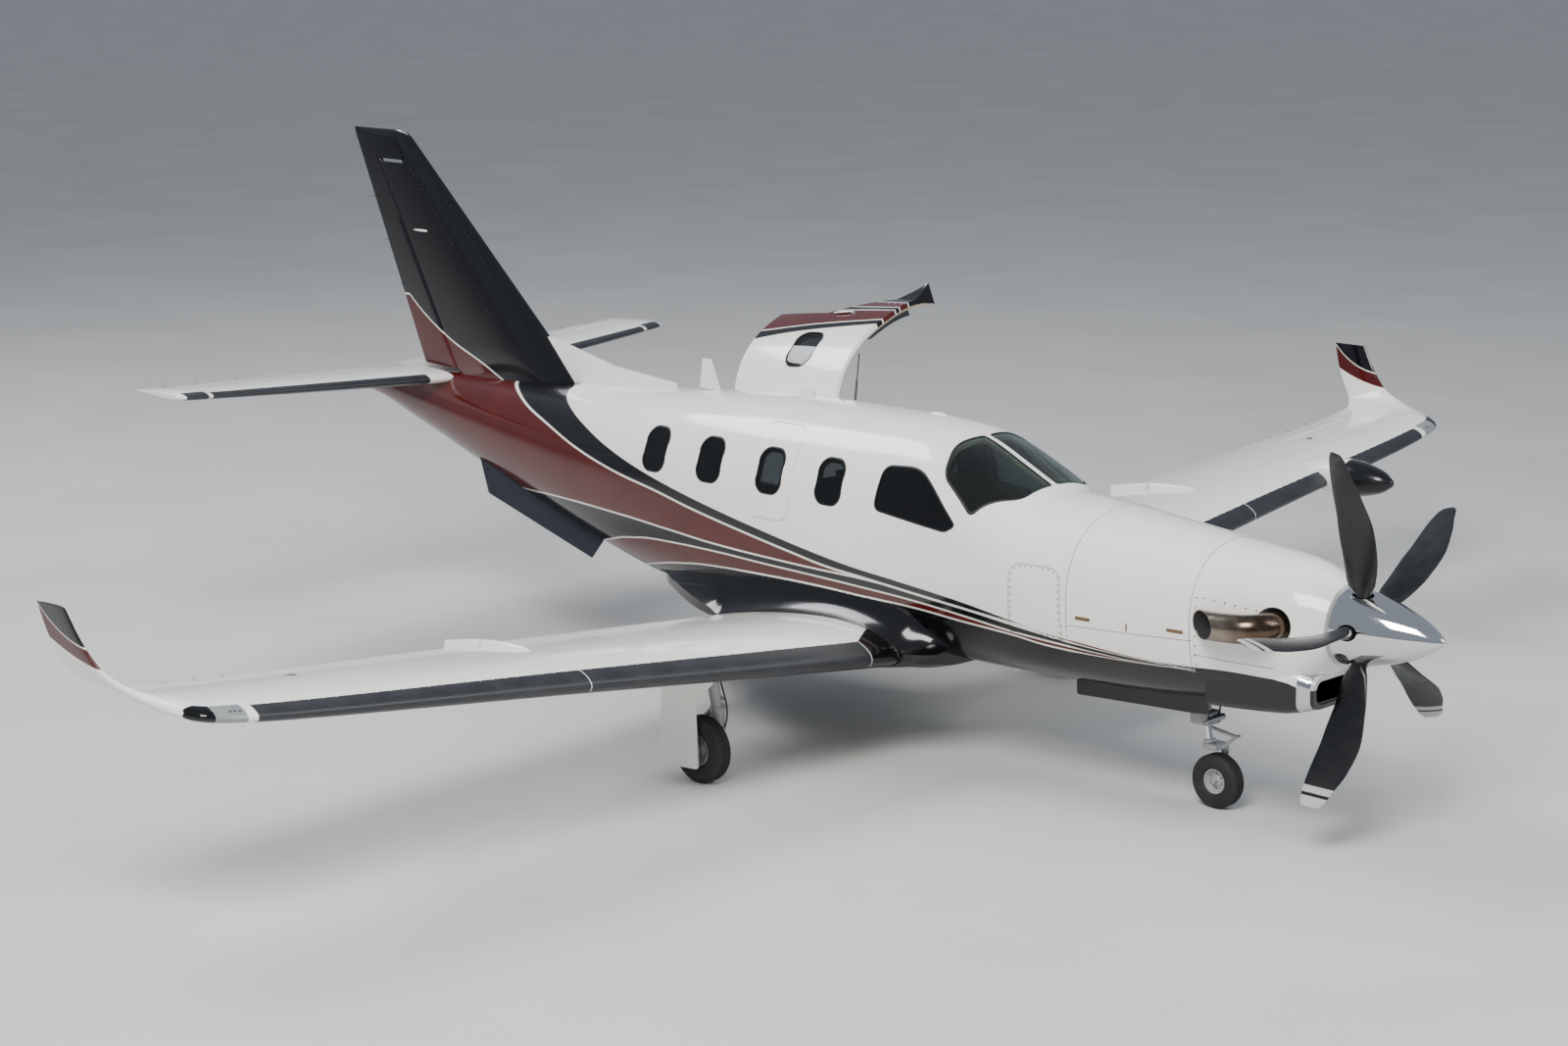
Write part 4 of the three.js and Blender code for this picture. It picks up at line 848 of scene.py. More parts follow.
def fairing_ring(station):
    outer, _, bottom, meets, belly = fairing_row(station)
    side = [Vector((side_y(station, meets) - 40, meets))]
    side += [fairing_fillet(station, t) for t in steps(0, 1, 12)]
    low, bend, end = Vector((outer, bottom)), Vector((outer * 0.93, belly + 8)), Vector((outer * 0.6, belly + 4))
    side += [curve(low, bend, end, t) for t in steps(0, 1, 8)]
    side.append(Vector((outer * 0.3, belly)))
    other = [Vector((-p.x, p.y)) for p in reversed(side)]
    return [(at(station), p.x, p.y) for p in side + other]


def fairing():
    return loft("fairing", [fairing_ring(s) for s in steps(FAIRING[0][0], FAIRING[-1][0], 98)])


# %% Cabin skin and lining
WALL, LINED = 30, 54


def shell(name, start, end, outer, inner):
    """The fuselage's wall between two insets."""
    return subtract(hull(name, start, end, outer), hull("cut", start - 20, end + 20, inner))


def hollow(target, ends, inset, floor, windows_by):
    """Empties a hull and cuts the doorway, the hatch and the windows out of it."""
    subtract(target, hull("cut", CABIN_FRONT + ends, BULKHEAD - ends, inset, floor), door_prism(6, 14))
    subtract(target, prism("cut", grown(hatch_outline, 4), -1))
    return cut_windows(target, windows_by)


cabin_skin = add_on(hull("cabin_skin", CABIN_FRONT, BULKHEAD), fairing())
hollow(cabin_skin, WALL, WALL, 944, 0)
cabin_lining = hull("cabin_lining", CABIN_FRONT + WALL + 1, BULKHEAD - WALL - 1, WALL + 0.6, 945)
hollow(cabin_lining, LINED + 1, LINED, 960, -2)
print("cabin skin:", len(cabin_skin.data.polygons), "faces")

# %% Escape hatch, a plug in the right wall
hatch_shell = shell("hatch_skin", 4900, 5500, 0, LINED)
combine(hatch_shell, prism("keep", grown(hatch_outline, -0.6), -1), "INTERSECT")
subtract(hatch_shell, prism("cut", hatch_window, -1))

# %% Entry door, made closed and then swung up about its hinge
hinge = place(at((DOOR["front"] + DOOR["rear"]) / 2), DOOR["hinge_y"], sum(DOOR["z"]) / 2)
axis = Vector((DOOR["rear"] - DOOR["front"], 0, DOOR["z"][0] - DOOR["z"][1])).normalized()
turn = Matrix.Rotation(math.radians(DOOR["open"]), 4, axis)
swing = Matrix.Translation(hinge) @ turn @ Matrix.Translation(-hinge)
back = turn.transposed().to_3x3()
unswing = (back.to_euler("XYZ"), hinge - back @ hinge)
door_paint = body_paint("polyurethane_topcoat_scheme_on_door", unswing)
DOOR_ENDS = (5400, 6660)
PAD = [(5572, 1592), (5572, 1100), (5765, 1306), (6080, 1508), (6508, 1508), (6508, 1592)]
door_skin = add_on(hull("door_skin", *DOOR_ENDS), fairing())
subtract(door_skin, hull("cut", DOOR_ENDS[0] - 20, DOOR_ENDS[1] + 20, WALL + 4))
combine(door_skin, door_prism(-2, 0), "INTERSECT")
subtract(door_skin, prism("cut", door_window, 1))
door_lining = shell("door_lining", *DOOR_ENDS, WALL + 4.5, LINED)
combine(door_lining, prism("keep", door_outline(-14), 1, DOOR["hinge_y"] + 8, 900), "INTERSECT")
subtract(door_lining, prism("cut", grown(door_window, -2), 1))
door_pad = combine(shell("door_pad", *DOOR_ENDS, 50, 118), prism("keep", rounded(PAD, 34), 1), "INTERSECT")

# %% Engine cowl with its chin, intake, exhaust ports and nose leg bay
CHIN = [[770, 262, 868, 1075], [1000, 318, 812, 1120], [1500, 400, 790, 1150]]


def rounded_ring(station, half, low, high, corner):
    ring = []
    for across, up, c, s in corner_arcs():
        z = (high - corner if up > 0 else low + corner) + corner * s
        ring.append((at(station), across * (half - corner) + corner * c, z))
    return ring


chin = loft("chin", [rounded_ring(s, *smooth(CHIN, s), 78) for s in steps(770, 1500, 16)])
intake = loft("intake", [rounded_ring(760, 232, 896, 1048, 58), rounded_ring(1250, 200, 905, 1040, 50)])
cowl_skin = add_on(hull("cowl_skin", 705, CABIN_FRONT - 0.4, pitch=40), chin)
inside = subtract(hull("cut", 1330, 2619, 40), box("cut", at(2700), at(1300), -600, 600, 600, 1080))
subtract(
    cowl_skin,
    intake,
    inside,
    bar("cut", (at(600), 0, THRUST_Z), (at(1500), 0, THRUST_Z), 130),
    box("cut", at(2640), at(1580), -255, 255, 400, 1030),
    bar("cut", (at(1010), -700, 1395), (at(1010), 700, 1395), 118, sides=48),
)

# %% Rear fuselage with its two ventral fins
VENTRAL = [(7310, 300, 1040), (8930, 222, 1540), (8632, 360, 1201), (7348, 420, 881)]


def ventral(side):
    corners = [Vector((at(s), side * y, z)) for s, y, z in VENTRAL]
    across = (corners[1] - corners[0]).cross(corners[3] - corners[0]).normalized()
    middle = sum(corners, Vector()) / 4
    rings = []
    for share, half in ((0.985, -8), (1, -5), (1, 5), (0.985, 8)):
        rings.append([middle + (p - middle) * share + across * half for p in corners])
    return loft("ventral", rings)


tail_skin = subtract(hull("tail_skin", BULKHEAD + 0.4, LENGTH), hull("cut", BULKHEAD - 60, 10200, 14))
strakes = [ventral(1), ventral(-1)]
for strake in strakes:
    combine(strake, hull("cut", BULKHEAD - 60, LENGTH, -0.3))
print("cowl:", len(cowl_skin.data.polygons), "tail:", len(tail_skin.data.polygons))

# %% Dress the fuselage in its paint
trim_cream = plain_paint("moulded_trim_cream", "b8ab94", 0.5)
# The door pad's charcoal is painted shade: it darkens the lower door lining where that lining lies in shadow.
pad_shade_charcoal = plain_paint("door_pad_painted_shade", "2c2d2f", 0.5)
dress(cabin_skin, "airframe", "white_paint", scheme_paint, replaces=["fuselage_cabin"])
dress(cabin_lining, "airframe", "leather", trim_cream)
dress(hatch_shell, "airframe", "white_paint", scheme_paint, replaces=["escape_hatch"])
dress(cowl_skin, "airframe", "white_paint", scheme_paint, replaces=["engine_cowl"])
dress(tail_skin, "airframe", "maroon_paint", scheme_paint, replaces=["rear_fuselage"])
dress(merge("ventral_strakes", strakes), "airframe", "black_paint", navy_paint, angle=20)
for piece in (door_skin, door_lining, door_pad):
    piece.data.transform(swing)
dress(door_skin, "door", "white_paint", door_paint, replaces=["entry_door"])
dress(door_lining, "door", "leather", trim_cream)
# Painted shade: the inner pad is charcoal to stand for the shadow on the lower lining.
dress(door_pad, "door", "leather", pad_shade_charcoal)

# %% [markdown]
# The wing is a loft of the table's profiles. Flap and aileron are what lies behind their hinge lines, so the same
# cutter makes the surface and, grown by its clearance, the pocket.

# %% Wings, flaps and ailerons


def wing_ring(row, grow=0.0):
    y, station, z, chord, thickness, cant = row
    c, s = math.cos(math.radians(cant)), math.sin(math.radians(cant))
    ring = []
    for x, h in profile(thickness, CAMBER):
        lift = h * chord + math.copysign(grow, h)
        ring.append((at(station + x * chord), y - lift * s, z + lift * c))
    return ring


def wing_rows(end=13.0, start=1.0003):
    inner = [start + (7 - start) * k / 26 for k in range(26)]
    return [smooth(WING, u) for u in inner + steps(7, end, 44)]


def hinge_frame(low, high):
    a = (Vector(high) - Vector(low)).normalized()
    f = (Vector((1, 0, 0)) - a * a.x).normalized()
    return a, f, a.cross(f)


def behind_hinge(low, high, grow, ends, round_nose=None):
    a, f, n = hinge_frame(low, high)
    ahead = 0 if round_nose else grow
    rings = []
    for base, shift in ((Vector(low), -ends[0]), (Vector(high), ends[1])):
        start = base + a * shift
        rings.append([start + f * u + n * v for u, v in ((ahead, 500), (ahead, -500), (-1600, -500), (-1600, 500))])
    made = loft("behind", rings)
    if round_nose:
        start, end = Vector(low) - a * ends[0], Vector(high) + a * ends[1]
        add_on(made, bar("nose", start, end, round_nose[0] + grow, round_nose[1] + grow, 40))
    return made


def hinge_ends(start, end, share, height):
    ends = []
    for y in (start, end):
        station, z, chord, thickness, _ = wing_at(y)
        half = (half_thickness(thickness, share) + BLUNT) * chord
        ends.append(((at(station + share * chord), y, z + 0.012 * chord + height * half), half))
    return ends


FLAP_HINGE = hinge_ends(830, 4890, 0.74, -1)
AILERON_HINGE = hinge_ends(4985, 5840, 0.76, 0)


def flap_cut(grow):
    return behind_hinge(FLAP_HINGE[0][0], FLAP_HINGE[1][0], grow, (grow, grow))


def aileron_cut(grow):
    halves = [half for _, half in AILERON_HINGE]
    return behind_hinge(AILERON_HINGE[0][0], AILERON_HINGE[1][0], grow, (grow, grow), halves)


TRACK_Y = 3400
STREAKS = {
    "wing": [[4540, 6, 4], [4600, 19, 18], [4700, 26, 30], [4860, 30, 42], [4985, 31, 48]],
    "flap": [[5022, 31, 50], [5200, 29, 52], [5385, 24, 54]],
}


def streak(rows):
    """The flap track's fairing, a round-backed blister."""
    rings = []
    for station in steps(rows[0][0], rows[-1][0], 16):
        half, rise = smooth(rows, station)
        top = wing_surface(TRACK_Y, station)[0]
        ring = [(at(station), TRACK_Y + half, top - 30)]
        for degrees in range(0, 181, 15):
            c, s = math.cos(math.radians(degrees)), math.sin(math.radians(degrees))
            ring.append((at(station), TRACK_Y + half * c, top + rise * s))
        ring.append((at(station), TRACK_Y - half, top - 30))
        rings.append(ring)
    return loft("streak", rings)


def wing_whole():
    return loft("wing", [wing_ring(row) for row in wing_rows()])


wheel_bay = box("cut", at(4880), at(4300), 800, 2120, 400, 905)
wing_main = subtract(wing_whole(), flap_cut(14), aileron_cut(11), wheel_bay)
add_on(wing_main, streak(STREAKS["wing"]))
flap = add_on(combine(wing_whole(), flap_cut(0), "INTERSECT"), streak(STREAKS["flap"]))
aileron = combine(wing_whole(), aileron_cut(0), "INTERSECT")


# %% [markdown]
# The leading edges carry pneumatic boots, sheets of dark neoprene glued over the nose of the wing. They end in
# a row of small ticks of white paint that shows between the scalloped tapes. Each boot is a strip of its own
# that stands a millimetre proud, and the ticks are laid along its upper edge by Geometry Nodes.

# %% Boots


def nose_strip(name, sections, over, under, proud=1.2, sink=2.5):
    """A strip round the nose of a lifting surface; over and under are its reach aft in mm, at each end."""
    rings = []
    for i, (at_chord, chord) in enumerate(sections):
        share = i / (len(sections) - 1)
        high = (over[0] + (over[1] - over[0]) * share) / chord
        low = (under[0] + (under[1] - under[0]) * share) / chord
        line = [(high * (1 - t) ** 2, 1) for t in steps(0, 1, 10)] + [(low * t**2, -1) for t in steps(0, 1, 10)[1:]]
        outer = [at_chord(x, sign, proud) for x, sign in line]
        rings.append(outer + [at_chord(x, sign, -sink) for x, sign in reversed(line)])
    return loft(name, rings)


def section_points(row, camber, side):
    """Finds points on a section by share of its chord, upper (1) or lower (-1) side and height off the skin."""
    y, station, z, chord, thickness, cant = row
    c, s = math.cos(math.radians(cant)), math.sin(math.radians(cant))

    def point(x, over, proud):
        slope = min(1.0, math.sqrt(x / 0.012))
        lift = (mean_line(camber, x) + over * (half_thickness(thickness, x) + BLUNT)) * chord
        lift += over * proud * slope
        return (at(station + x * chord - proud * (1 - slope)), side * (y - lift * s), z + lift * c)

    return point, chord


def wing_section(y, side):
    low, high = 1.0, 13.0
    for _ in range(40):
        middle = (low + high) / 2
        low, high = (middle, high) if smooth(WING, middle)[0] < y else (low, middle)
    return section_points(smooth(WING, low), CAMBER, side)


def wing_boot(name, side, start, end, over, under, count=60, proud=1.2):
    return nose_strip(name, [wing_section(y, side) for y in steps(start, end, count)], over, under, proud)


# %% Geometry Nodes: one small part set on every point, turned to the point's normal
def stamp_tree():
    tree = bpy.data.node_groups.new("stamp_on_points", "GeometryNodeTree")
    face = tree.interface
    sockets = {}
    face.new_socket("Geometry", in_out="OUTPUT", socket_type="NodeSocketGeometry")
    face.new_socket("Geometry", in_out="INPUT", socket_type="NodeSocketGeometry")
    for label, value in (("Radius", 0.004), ("Height", 0.0012), ("Stretch", 1.0)):
        made = face.new_socket(label, in_out="INPUT", socket_type="NodeSocketFloat")
        made.default_value = value
        sockets[label] = made.identifier
    sides = face.new_socket("Sides", in_out="INPUT", socket_type="NodeSocketInt")
    sides.default_value = 12
    sockets["Sides"] = sides.identifier
    finish = face.new_socket("Finish", in_out="INPUT", socket_type="NodeSocketMaterial")
    sockets["Finish"] = finish.identifier
    given = add(tree, "NodeGroupInput")
    tip = add(tree, "ShaderNodeMath", {"operation": "MULTIPLY"}, i0=given.outputs["Radius"], i1=0.72)
    disc = add(
        tree,
        "GeometryNodeMeshCone",
        Vertices=given.outputs["Sides"],
        Radius_Bottom=given.outputs["Radius"],
        Radius_Top=tip.outputs[0],
        Depth=given.outputs["Height"],
    )
    size = add(tree, "ShaderNodeCombineXYZ", X=given.outputs["Stretch"], Y=1.0, Z=1.0)
    normal = add(tree, "GeometryNodeInputNamedAttribute", {"data_type": "FLOAT_VECTOR"}, Name="normal_out")
    along = add(tree, "GeometryNodeInputNamedAttribute", {"data_type": "FLOAT_VECTOR"}, Name="along")
    upright = add(tree, "FunctionNodeAlignRotationToVector", {"axis": "Z"}, Vector=normal.outputs[0])
    turned = add(
        tree,
        "FunctionNodeAlignRotationToVector",
        {"axis": "X", "pivot_axis": "Z"},
        Rotation=upright.outputs[0],
        Vector=along.outputs[0],
    )
    stamped = add(
        tree,
        "GeometryNodeInstanceOnPoints",
        Points=given.outputs["Geometry"],
        Instance=disc.outputs[0],
        Rotation=turned.outputs[0],
        Scale=size.outputs[0],
    )
    solid = add(tree, "GeometryNodeRealizeInstances", Geometry=stamped.outputs[0])
    painted = add(tree, "GeometryNodeSetMaterial", Geometry=solid.outputs[0], Material=given.outputs["Finish"])
    add(tree, "NodeGroupOutput", Geometry=painted.outputs[0])
    return tree, sockets


STAMP, STAMP_INPUTS = stamp_tree()


def stamp(name, spots, material, radius, height, body, slot, stretch=1.0, sides=12):
    """Spots are (point, normal) or (point, normal, along) in millimetres."""
    mesh = bpy.data.meshes.new(name)
    mesh.from_pydata([Vector(spot[0]) * MM for spot in spots], [], [])
    for label, index in (("normal_out", 1), ("along", 2)):
        values = mesh.attributes.new(label, "FLOAT_VECTOR", "POINT")
        for i, spot in enumerate(spots):
            values.data[i].vector = Vector(spot[index]) if len(spot) > index else Vector((1, 0, 0))
    made = bpy.data.objects.new(name, mesh)
    bpy.context.collection.objects.link(made)
    work = made.modifiers.new("stamp", "NODES")
    work.node_group = STAMP
    given = {"Radius": radius * MM, "Height": height * MM, "Stretch": stretch, "Sides": sides, "Finish": material}
    for label, value in given.items():
        work[STAMP_INPUTS[label]] = value
    bake(made)
    print(name, len(spots), "spots,", len(made.data.polygons), "faces")
    return dress(made, body, slot, material, angle=30)


# %% Rubber of the boots
def rubber(name, key, rough, coarse=1 / 0.004):
    made, tree, shader, where = new_material(name)
    stain = noise(tree, where, 6.0, 6.0, 0.65)
    base = linear(key)
    pale = tuple([min(1.0, c * 1.9 + 0.01) for c in base[:3]] + [1.0])
    colour_with(tree, shader, mottle(tree, stain, 0.45, 0.8, base, pale, 0.55))
    roughen(tree, shader, stain, 0.3, 0.8, rough, rough + 0.18)
    bump(tree, shader, noise(tree, where, coarse, 2.0), 0.12, 0.0005)
    set_shader(shader, IOR=1.52)
    return made


neoprene = rubber("neoprene_boot", "26282c", 0.34)

# %% Both wings
BOOTS = ((1010, 3392, (128, 112), (96, 84)), (3400, 5800, (112, 92), (84, 66)))


def surface(source, part, side, label, moves=True):
    """Dresses one side's skin; the right one comes first and is a mirror image of the left."""
    name = f"{part}_skin_{label}"
    made = mirrored(source, name) if side < 0 else source
    made.name = name
    body = f"{part}_{label}" if moves else "airframe"
    dress(made, body, "white_paint", white_paint, angle=28, replaces=[f"{part}_{label}"])


for side, label in SIDES:
    surface(wing_main, "wing", side, label, False)
    surface(flap, "flap", side, label)
    surface(aileron, "aileron", side, label)
    boots = [wing_boot("boot", side, *boot) for boot in BOOTS]
    dress(merge(f"wing_boots_{label}", boots), "airframe", "black_paint", neoprene)
    cuff = wing_boot("cuff", side, 762, 1002, (300, 134), (150, 100), 16, 0.8)
    dress(merge(f"root_cuff_{label}", [cuff]), "airframe", "black_paint", black_paint)
    ticks = []
    for y in steps(1040, 5780, 50):
        point, chord = wing_section(y, side)
        reach = 128 - 36 * (y - 1010) / 4790
        spot = Vector(point(reach / chord, 1, 1.0))
        ahead = Vector(point((reach - 12) / chord, 1, 1.0))
        ticks.append((spot, Vector((0.1, 0, 1)), (ahead - spot).normalized()))
    stamp(f"boot_ticks_{label}", ticks, white_paint, 3.4, 1.6, "airframe", "white_paint", 3.2, 8)

# %% [markdown]
# Fin and tailplanes are straight-sided lofts. Rudder and elevators have round noses about their hinges, and
# horns that reach ahead of the hinge line and carry the tips.

# %% Fin, rudder and dorsal fin
FIN = [(1990, 7769, 2015, 0.115), (3900, 9900, 742, 0.09), (3940, 9960, 695, 0.085), (3960, 10040, 620, 0.05)]
RUDDER = {"low": (at(9395), 0, 2100), "high": (at(10340), 0, 3715), "base": 2084, "horn": 3722}
FIN_LINE = [(8300, 1930), (8655, 2042), (8982, 2168), (9409, 2310), (9747, 2467), (9994, 2626)]
DORSAL = ((6820, 2236, 20), (7500, 2290, 40), (8200, 2440, 52), (8420, 2450, 54))


def with_straight_run(rows, count=12):
    """The rows with the straight run between the first two filled in."""
    return [tuple(a + (b - a) * t for a, b in zip(*rows[:2])) for t in steps(0, 1, count)] + rows[2:]


def fin_whole():
    rows = with_straight_run(FIN)
    return loft("fin", [[(at(s + x * c), h * c, z) for x, h in profile(t, 0)] for z, s, c, t in rows])


def fin_row(z):
    return smooth(FIN, z)


def rudder_cut(grow):
    low, high = Vector(RUDDER["low"]), Vector(RUDDER["high"])
    a, _, _ = hinge_frame(low, high)
    halves = []
    for z in (low.z, high.z):
        station, chord, thickness = fin_row(z)
        x = low.x + (z - low.z) / (high.z - low.z) * (high.x - low.x)
        halves.append((half_thickness(thickness, (at(station) - x) / chord) + BLUNT) * chord)
    made = bar("nose", low - a * 200, high + a * 60, halves[0] + grow + 6, halves[1] + grow, 40)
    add_on(made, behind_hinge(low, high, 0, (300, 300), (1, 1)))
    level = RUDDER["horn"] - grow * 1.8
    edge = [(at(high.x) - 40, level), (9955 + grow * 2.1, level), (10190 + grow, 4100), (11400, 4100), (11400, level)]
    add_on(made, prism("horn", edge, 1, -400, 400))
    return combine(made, box("keep", at(8000), at(11400), -400, 400, RUDDER["base"] - grow * 8, 4100), "INTERSECT")


def body_cut():
    return hull("cut", 6500, LENGTH, -0.4)


def dorsal_ring(station, top, half):
    right = [(-half, 2000), (half, 2000), (14, top - 30), (8, top), (-8, top), (-14, top - 30)]
    return [(at(station), y, z) for y, z in right]


dorsal = loft("dorsal", [dorsal_ring(*row) for row in DORSAL])
rudder_skin = combine(fin_whole(), rudder_cut(0), "INTERSECT")
fin_skin = subtract(fin_whole(), rudder_cut(14), body_cut())
dorsal_skin = subtract(dorsal, body_cut(), fin_whole())


def fin_paint():
    """Black above a masking line and maroon below it, with a white line between."""
    made, tree, shader, where = new_material("polyurethane_topcoat_fin")
    station, _, z = station_and_height(tree, where)
    line = above_line(tree, station, z, FIN_LINE)
    colour = mix(tree, step_up(tree, line), TONE["maroon"], TONE["black"])
    lacquer(tree, shader, where, mix(tree, stripe(tree, line, 7.5), colour, TONE["line"]))
    return made


fin_finish = fin_paint()
dress(fin_skin, "airframe", "black_paint", fin_finish, replaces=["fin"])
dress(rudder_skin, "rudder", "black_paint", fin_finish, replaces=["rudder"])
dress(dorsal_skin, "airframe", "white_paint", white_paint)

# %% Tailplanes and elevators
TAIL = [
    (110, 9330, 2010, 1030, 0.11),
    (2340, 9640, 2112, 660, 0.1),
    (2460, 9665, 2118, 632, 0.09),
    (2495, 9710, 2120, 560, 0.05),
]
ELEVATOR_SHARE = 0.68


def tail_whole():
    rows = with_straight_run(TAIL)
    return loft("tail", [[(at(s + x * c), y, z + h * c) for x, h in profile(t, 0)] for y, s, z, c, t in rows])


def tail_section(y, side):
    return section_points((y, *smooth(TAIL, y), 0), 0, side)


ELEVATOR_HINGE = []
for y in (372, 2240):
    station, z, chord, thickness = smooth(TAIL, y)
    half = (half_thickness(thickness, ELEVATOR_SHARE) + BLUNT) * chord
    ELEVATOR_HINGE.append((Vector((at(station + ELEVATOR_SHARE * chord), y, z)), half))


def elevator_cut(grow):
    low, high = (end for end, _ in ELEVATOR_HINGE)
    a, f, n = hinge_frame(low, high)
    tip = high + (high - low) * 500 / (high.y - low.y)
    made = behind_hinge(low, high, grow, (grow, 10), [half for _, half in ELEVATOR_HINGE])
    corners = ((high, -grow, -900), (high, -grow, 700), (tip, 0, 700), (tip, 0, -900))
    rings = [[p + a * b + f * ahead + n * up for p, b, ahead in corners] for up in (-400, 400)]
    return add_on(made, loft("horn", rings))


tail_main = subtract(tail_whole(), elevator_cut(11), body_cut())
elevator = combine(tail_whole(), elevator_cut(0), "INTERSECT")
for side, label in SIDES:
    surface(tail_main, "tailplane", side, label, False)
    surface(elevator, "elevator", side, label)
    boot = nose_strip("boot", [tail_section(y, side) for y in steps(330, 2225, 30)], (74, 58), (70, 54))
    dress(merge(f"tail_boot_{label}", [boot]), "airframe", "black_paint", neoprene)
print("wings and tail made")

# %% [markdown]
# The windows are stretched acrylic, tinted grey. Each sits in its opening on a black seal, and inside it the
# opening is framed by a grey surround. The windscreen is two panes either side of a white centre post.

# %% Glass


def tinted(name, key, rough=0.015):
    made, tree, shader, where = new_material(name)
    roughen(tree, shader, noise(tree, where, 5.0, 4.0, 0.6), 0.45, 0.8, rough, rough + 0.05)
    set_shader(shader, Base_Color=linear(key), Transmission_Weight=1.0, IOR=1.49)
    return made


acrylic = tinted("stretched_acrylic_grey_tint", "4d5355")
screen_glass = tinted("laminated_glass_clear_green", "aebdb6")
seal_black = rubber("epdm_window_seal", "121315", 0.45)
frame_grey = plain_paint("anodised_frame_grey", "8d9092", 0.4)
PANE_SECTION = [(-7, 1.4), (1.5, 1.4), (4.5, 0.4), (4.5, -9), (-7, -9)]
FRAME_SECTION = [(-26, -12), (-26, -31), (-1, -31), (-1, -12)]


def pane(name, cutter):
    return combine(shell(name, CABIN_FRONT + 40, BULKHEAD - 40, 3.5, 11), cutter, "INTERSECT")


def glaze(name, outline, side, node):
    """A pane of acrylic in its seal, and the frame inside it."""
    keep = prism("keep", grown(outline, -1), side)
    dress(pane("pane_" + name, keep), "airframe", "glass", acrylic, replaces=[node])
    seals.append(side_strip("seal", outline, side, PANE_SECTION))
    frames.append(side_strip("frame", outline, side, FRAME_SECTION))


seals, frames = [], []
for name, (station, side) in WINDOWS.items():
    glaze(name, window_outline(station), side, "cabin_window_" + name)
glaze("hatch", hatch_window, -1, "escape_hatch_window")
for side, label in SIDES:
    glaze("cockpit_" + label, cockpit_outline, side, "cockpit_window_" + label)
    screen = screen_outline(side)
    keep = roof_prism("keep", grown(screen, -1))
    dress(pane("windscreen_" + label, keep), "airframe", "glass", screen_glass, replaces=["windshield_" + label])
    seals.append(strip("seal", screen, on_roof, PANE_SECTION))
dress(merge("window_seals", seals), "airframe", "black_paint", seal_black)
dress(merge("window_frames", frames), "airframe", "panel", frame_grey)
door_pane = pane("pane_door", prism("keep", grown(door_window, -1), 1))
door_seal = side_strip("door_window_seal", door_window, 1, PANE_SECTION)
door_frame = side_strip("door_window_frame", door_window, 1, FRAME_SECTION)
for piece in (door_pane, door_seal, door_frame):
    piece.data.transform(swing)
dress(door_pane, "door", "glass", acrylic, replaces=["entry_door_window"])
dress(door_seal, "door", "black_paint", seal_black)
dress(door_frame, "door", "panel", frame_grey)

# %% [markdown]
# The spinner is spun aluminium, chromed. Five composite blades leave it through slots; each is a thick root
# that flattens into a wide blade with a swept tip.

# %% Metals


def metal(name, key, rough, smudge=0.08, scale=6.0, grain=None):
    made, tree, shader, where = new_material(name)
    roughen(tree, shader, noise(tree, where, scale, 6.0, 0.6), 0.35, 0.75, rough, rough + smudge)
    if grain:
        bump(tree, shader, noise(tree, where, grain, 2.0), 0.15, 0.0004)
    set_shader(shader, Base_Color=linear(key), Metallic=1.0)
    return made


chrome = metal("chromed_aluminium", "d9dadb", 0.05, 0.05)
polished = metal("polished_stainless_lip", "c9cbcc", 0.1, 0.07)
steel = metal("zinc_plated_steel", "a4a6a6", 0.32, 0.15, 20.0)
alloy = metal("cast_aluminium_alloy", "a9abac", 0.38, 0.15, 12.0, 1 / 0.0016)
dark_steel = metal("gunmetal_engine_casing", "55585a", 0.4, 0.2, 15.0, 1 / 0.003)


def heat_tinted():
    """Stainless exhausts turn straw and bronze towards the end that runs hottest."""
    made, tree, shader, where = new_material("heat_tinted_stainless")
    station, _, _ = station_and_height(tree, where)
    heat = spread(tree, station, 1010, 1400, 0, 1)
    wander = spread(tree, noise(tree, where, 9.0, 5.0, 0.6), 0.3, 0.7, -0.16, 0.16)
    warmth = sum_up(tree, "ADD", heat, wander)
    colour = mix(tree, step_up(tree, warmth, 0.3, 0.35), linear("57473b"), linear("9c9184"))
    colour_with(tree, shader, mix(tree, step_up(tree, warmth, 0.85, 0.25), colour, linear("6d5442")))
    roughen(tree, shader, noise(tree, where, 14.0, 5.0), 0.3, 0.8, 0.14, 0.34)
    set_shader(shader, Metallic=1.0)
    return made


exhaust_steel = heat_tinted()
soot = rubber("soot_black_inside", "0b0b0c", 0.75)

# %% Spinner
SPINNER = [[0, 0], [1, 6.2], [4, 12.4], [14, 24], [90, 78], [220, 142], [380, 196], [540, 232], [685, 246]]
SPINNER_LENGTH = SPINNER[-1][0]
outline = [(0.15, 0.8)]
for t in steps(0.04, 1, 40):
    outline.append((SPINNER_LENGTH * t * t, smooth(SPINNER, SPINNER_LENGTH * t * t)[0]))
outline += [(SPINNER_LENGTH, 90), (640, 90), (640, 0.5)]
spinner_skin = lathe("spinner_skin", outline, (at(0), 0, THRUST_Z), (-1, 0, 0), 96)
FIRST_BLADE, BLADE_STATION = 14.4, 560
BLADES = [
    [118.4, 104, 96, 100, 0],
    [235, 110, 86, 100, -2],
    [300, 186, 56, 99, -6],
    [400, 222, 42, 97, 4],
    [500, 244, 34, 95, 10],
    [700, 274, 25, 87, 7],
    [900, 248, 18, 80, -30],
    [1050, 190, 12, 76, -72],
    [1120, 152, 9, 74, -86],
    [1155, 96, 6, 72, -98],
]


def blade_ring(radius, row, grow=0.0, flat=1.0, sides=36):
    chord, thick, pitch, sweep = row
    ring = []
    c, s = math.cos(math.radians(pitch)), math.sin(math.radians(pitch))
    for k in range(sides):
        a = 2 * math.pi * k / sides
        along = (chord / 2 + grow) * math.cos(a) + sweep
        across = (thick / 2 + grow) * math.copysign(abs(math.sin(a)) ** flat, math.sin(a))
        ring.append((along * s + across * c, across * s - along * c, radius))
    return ring


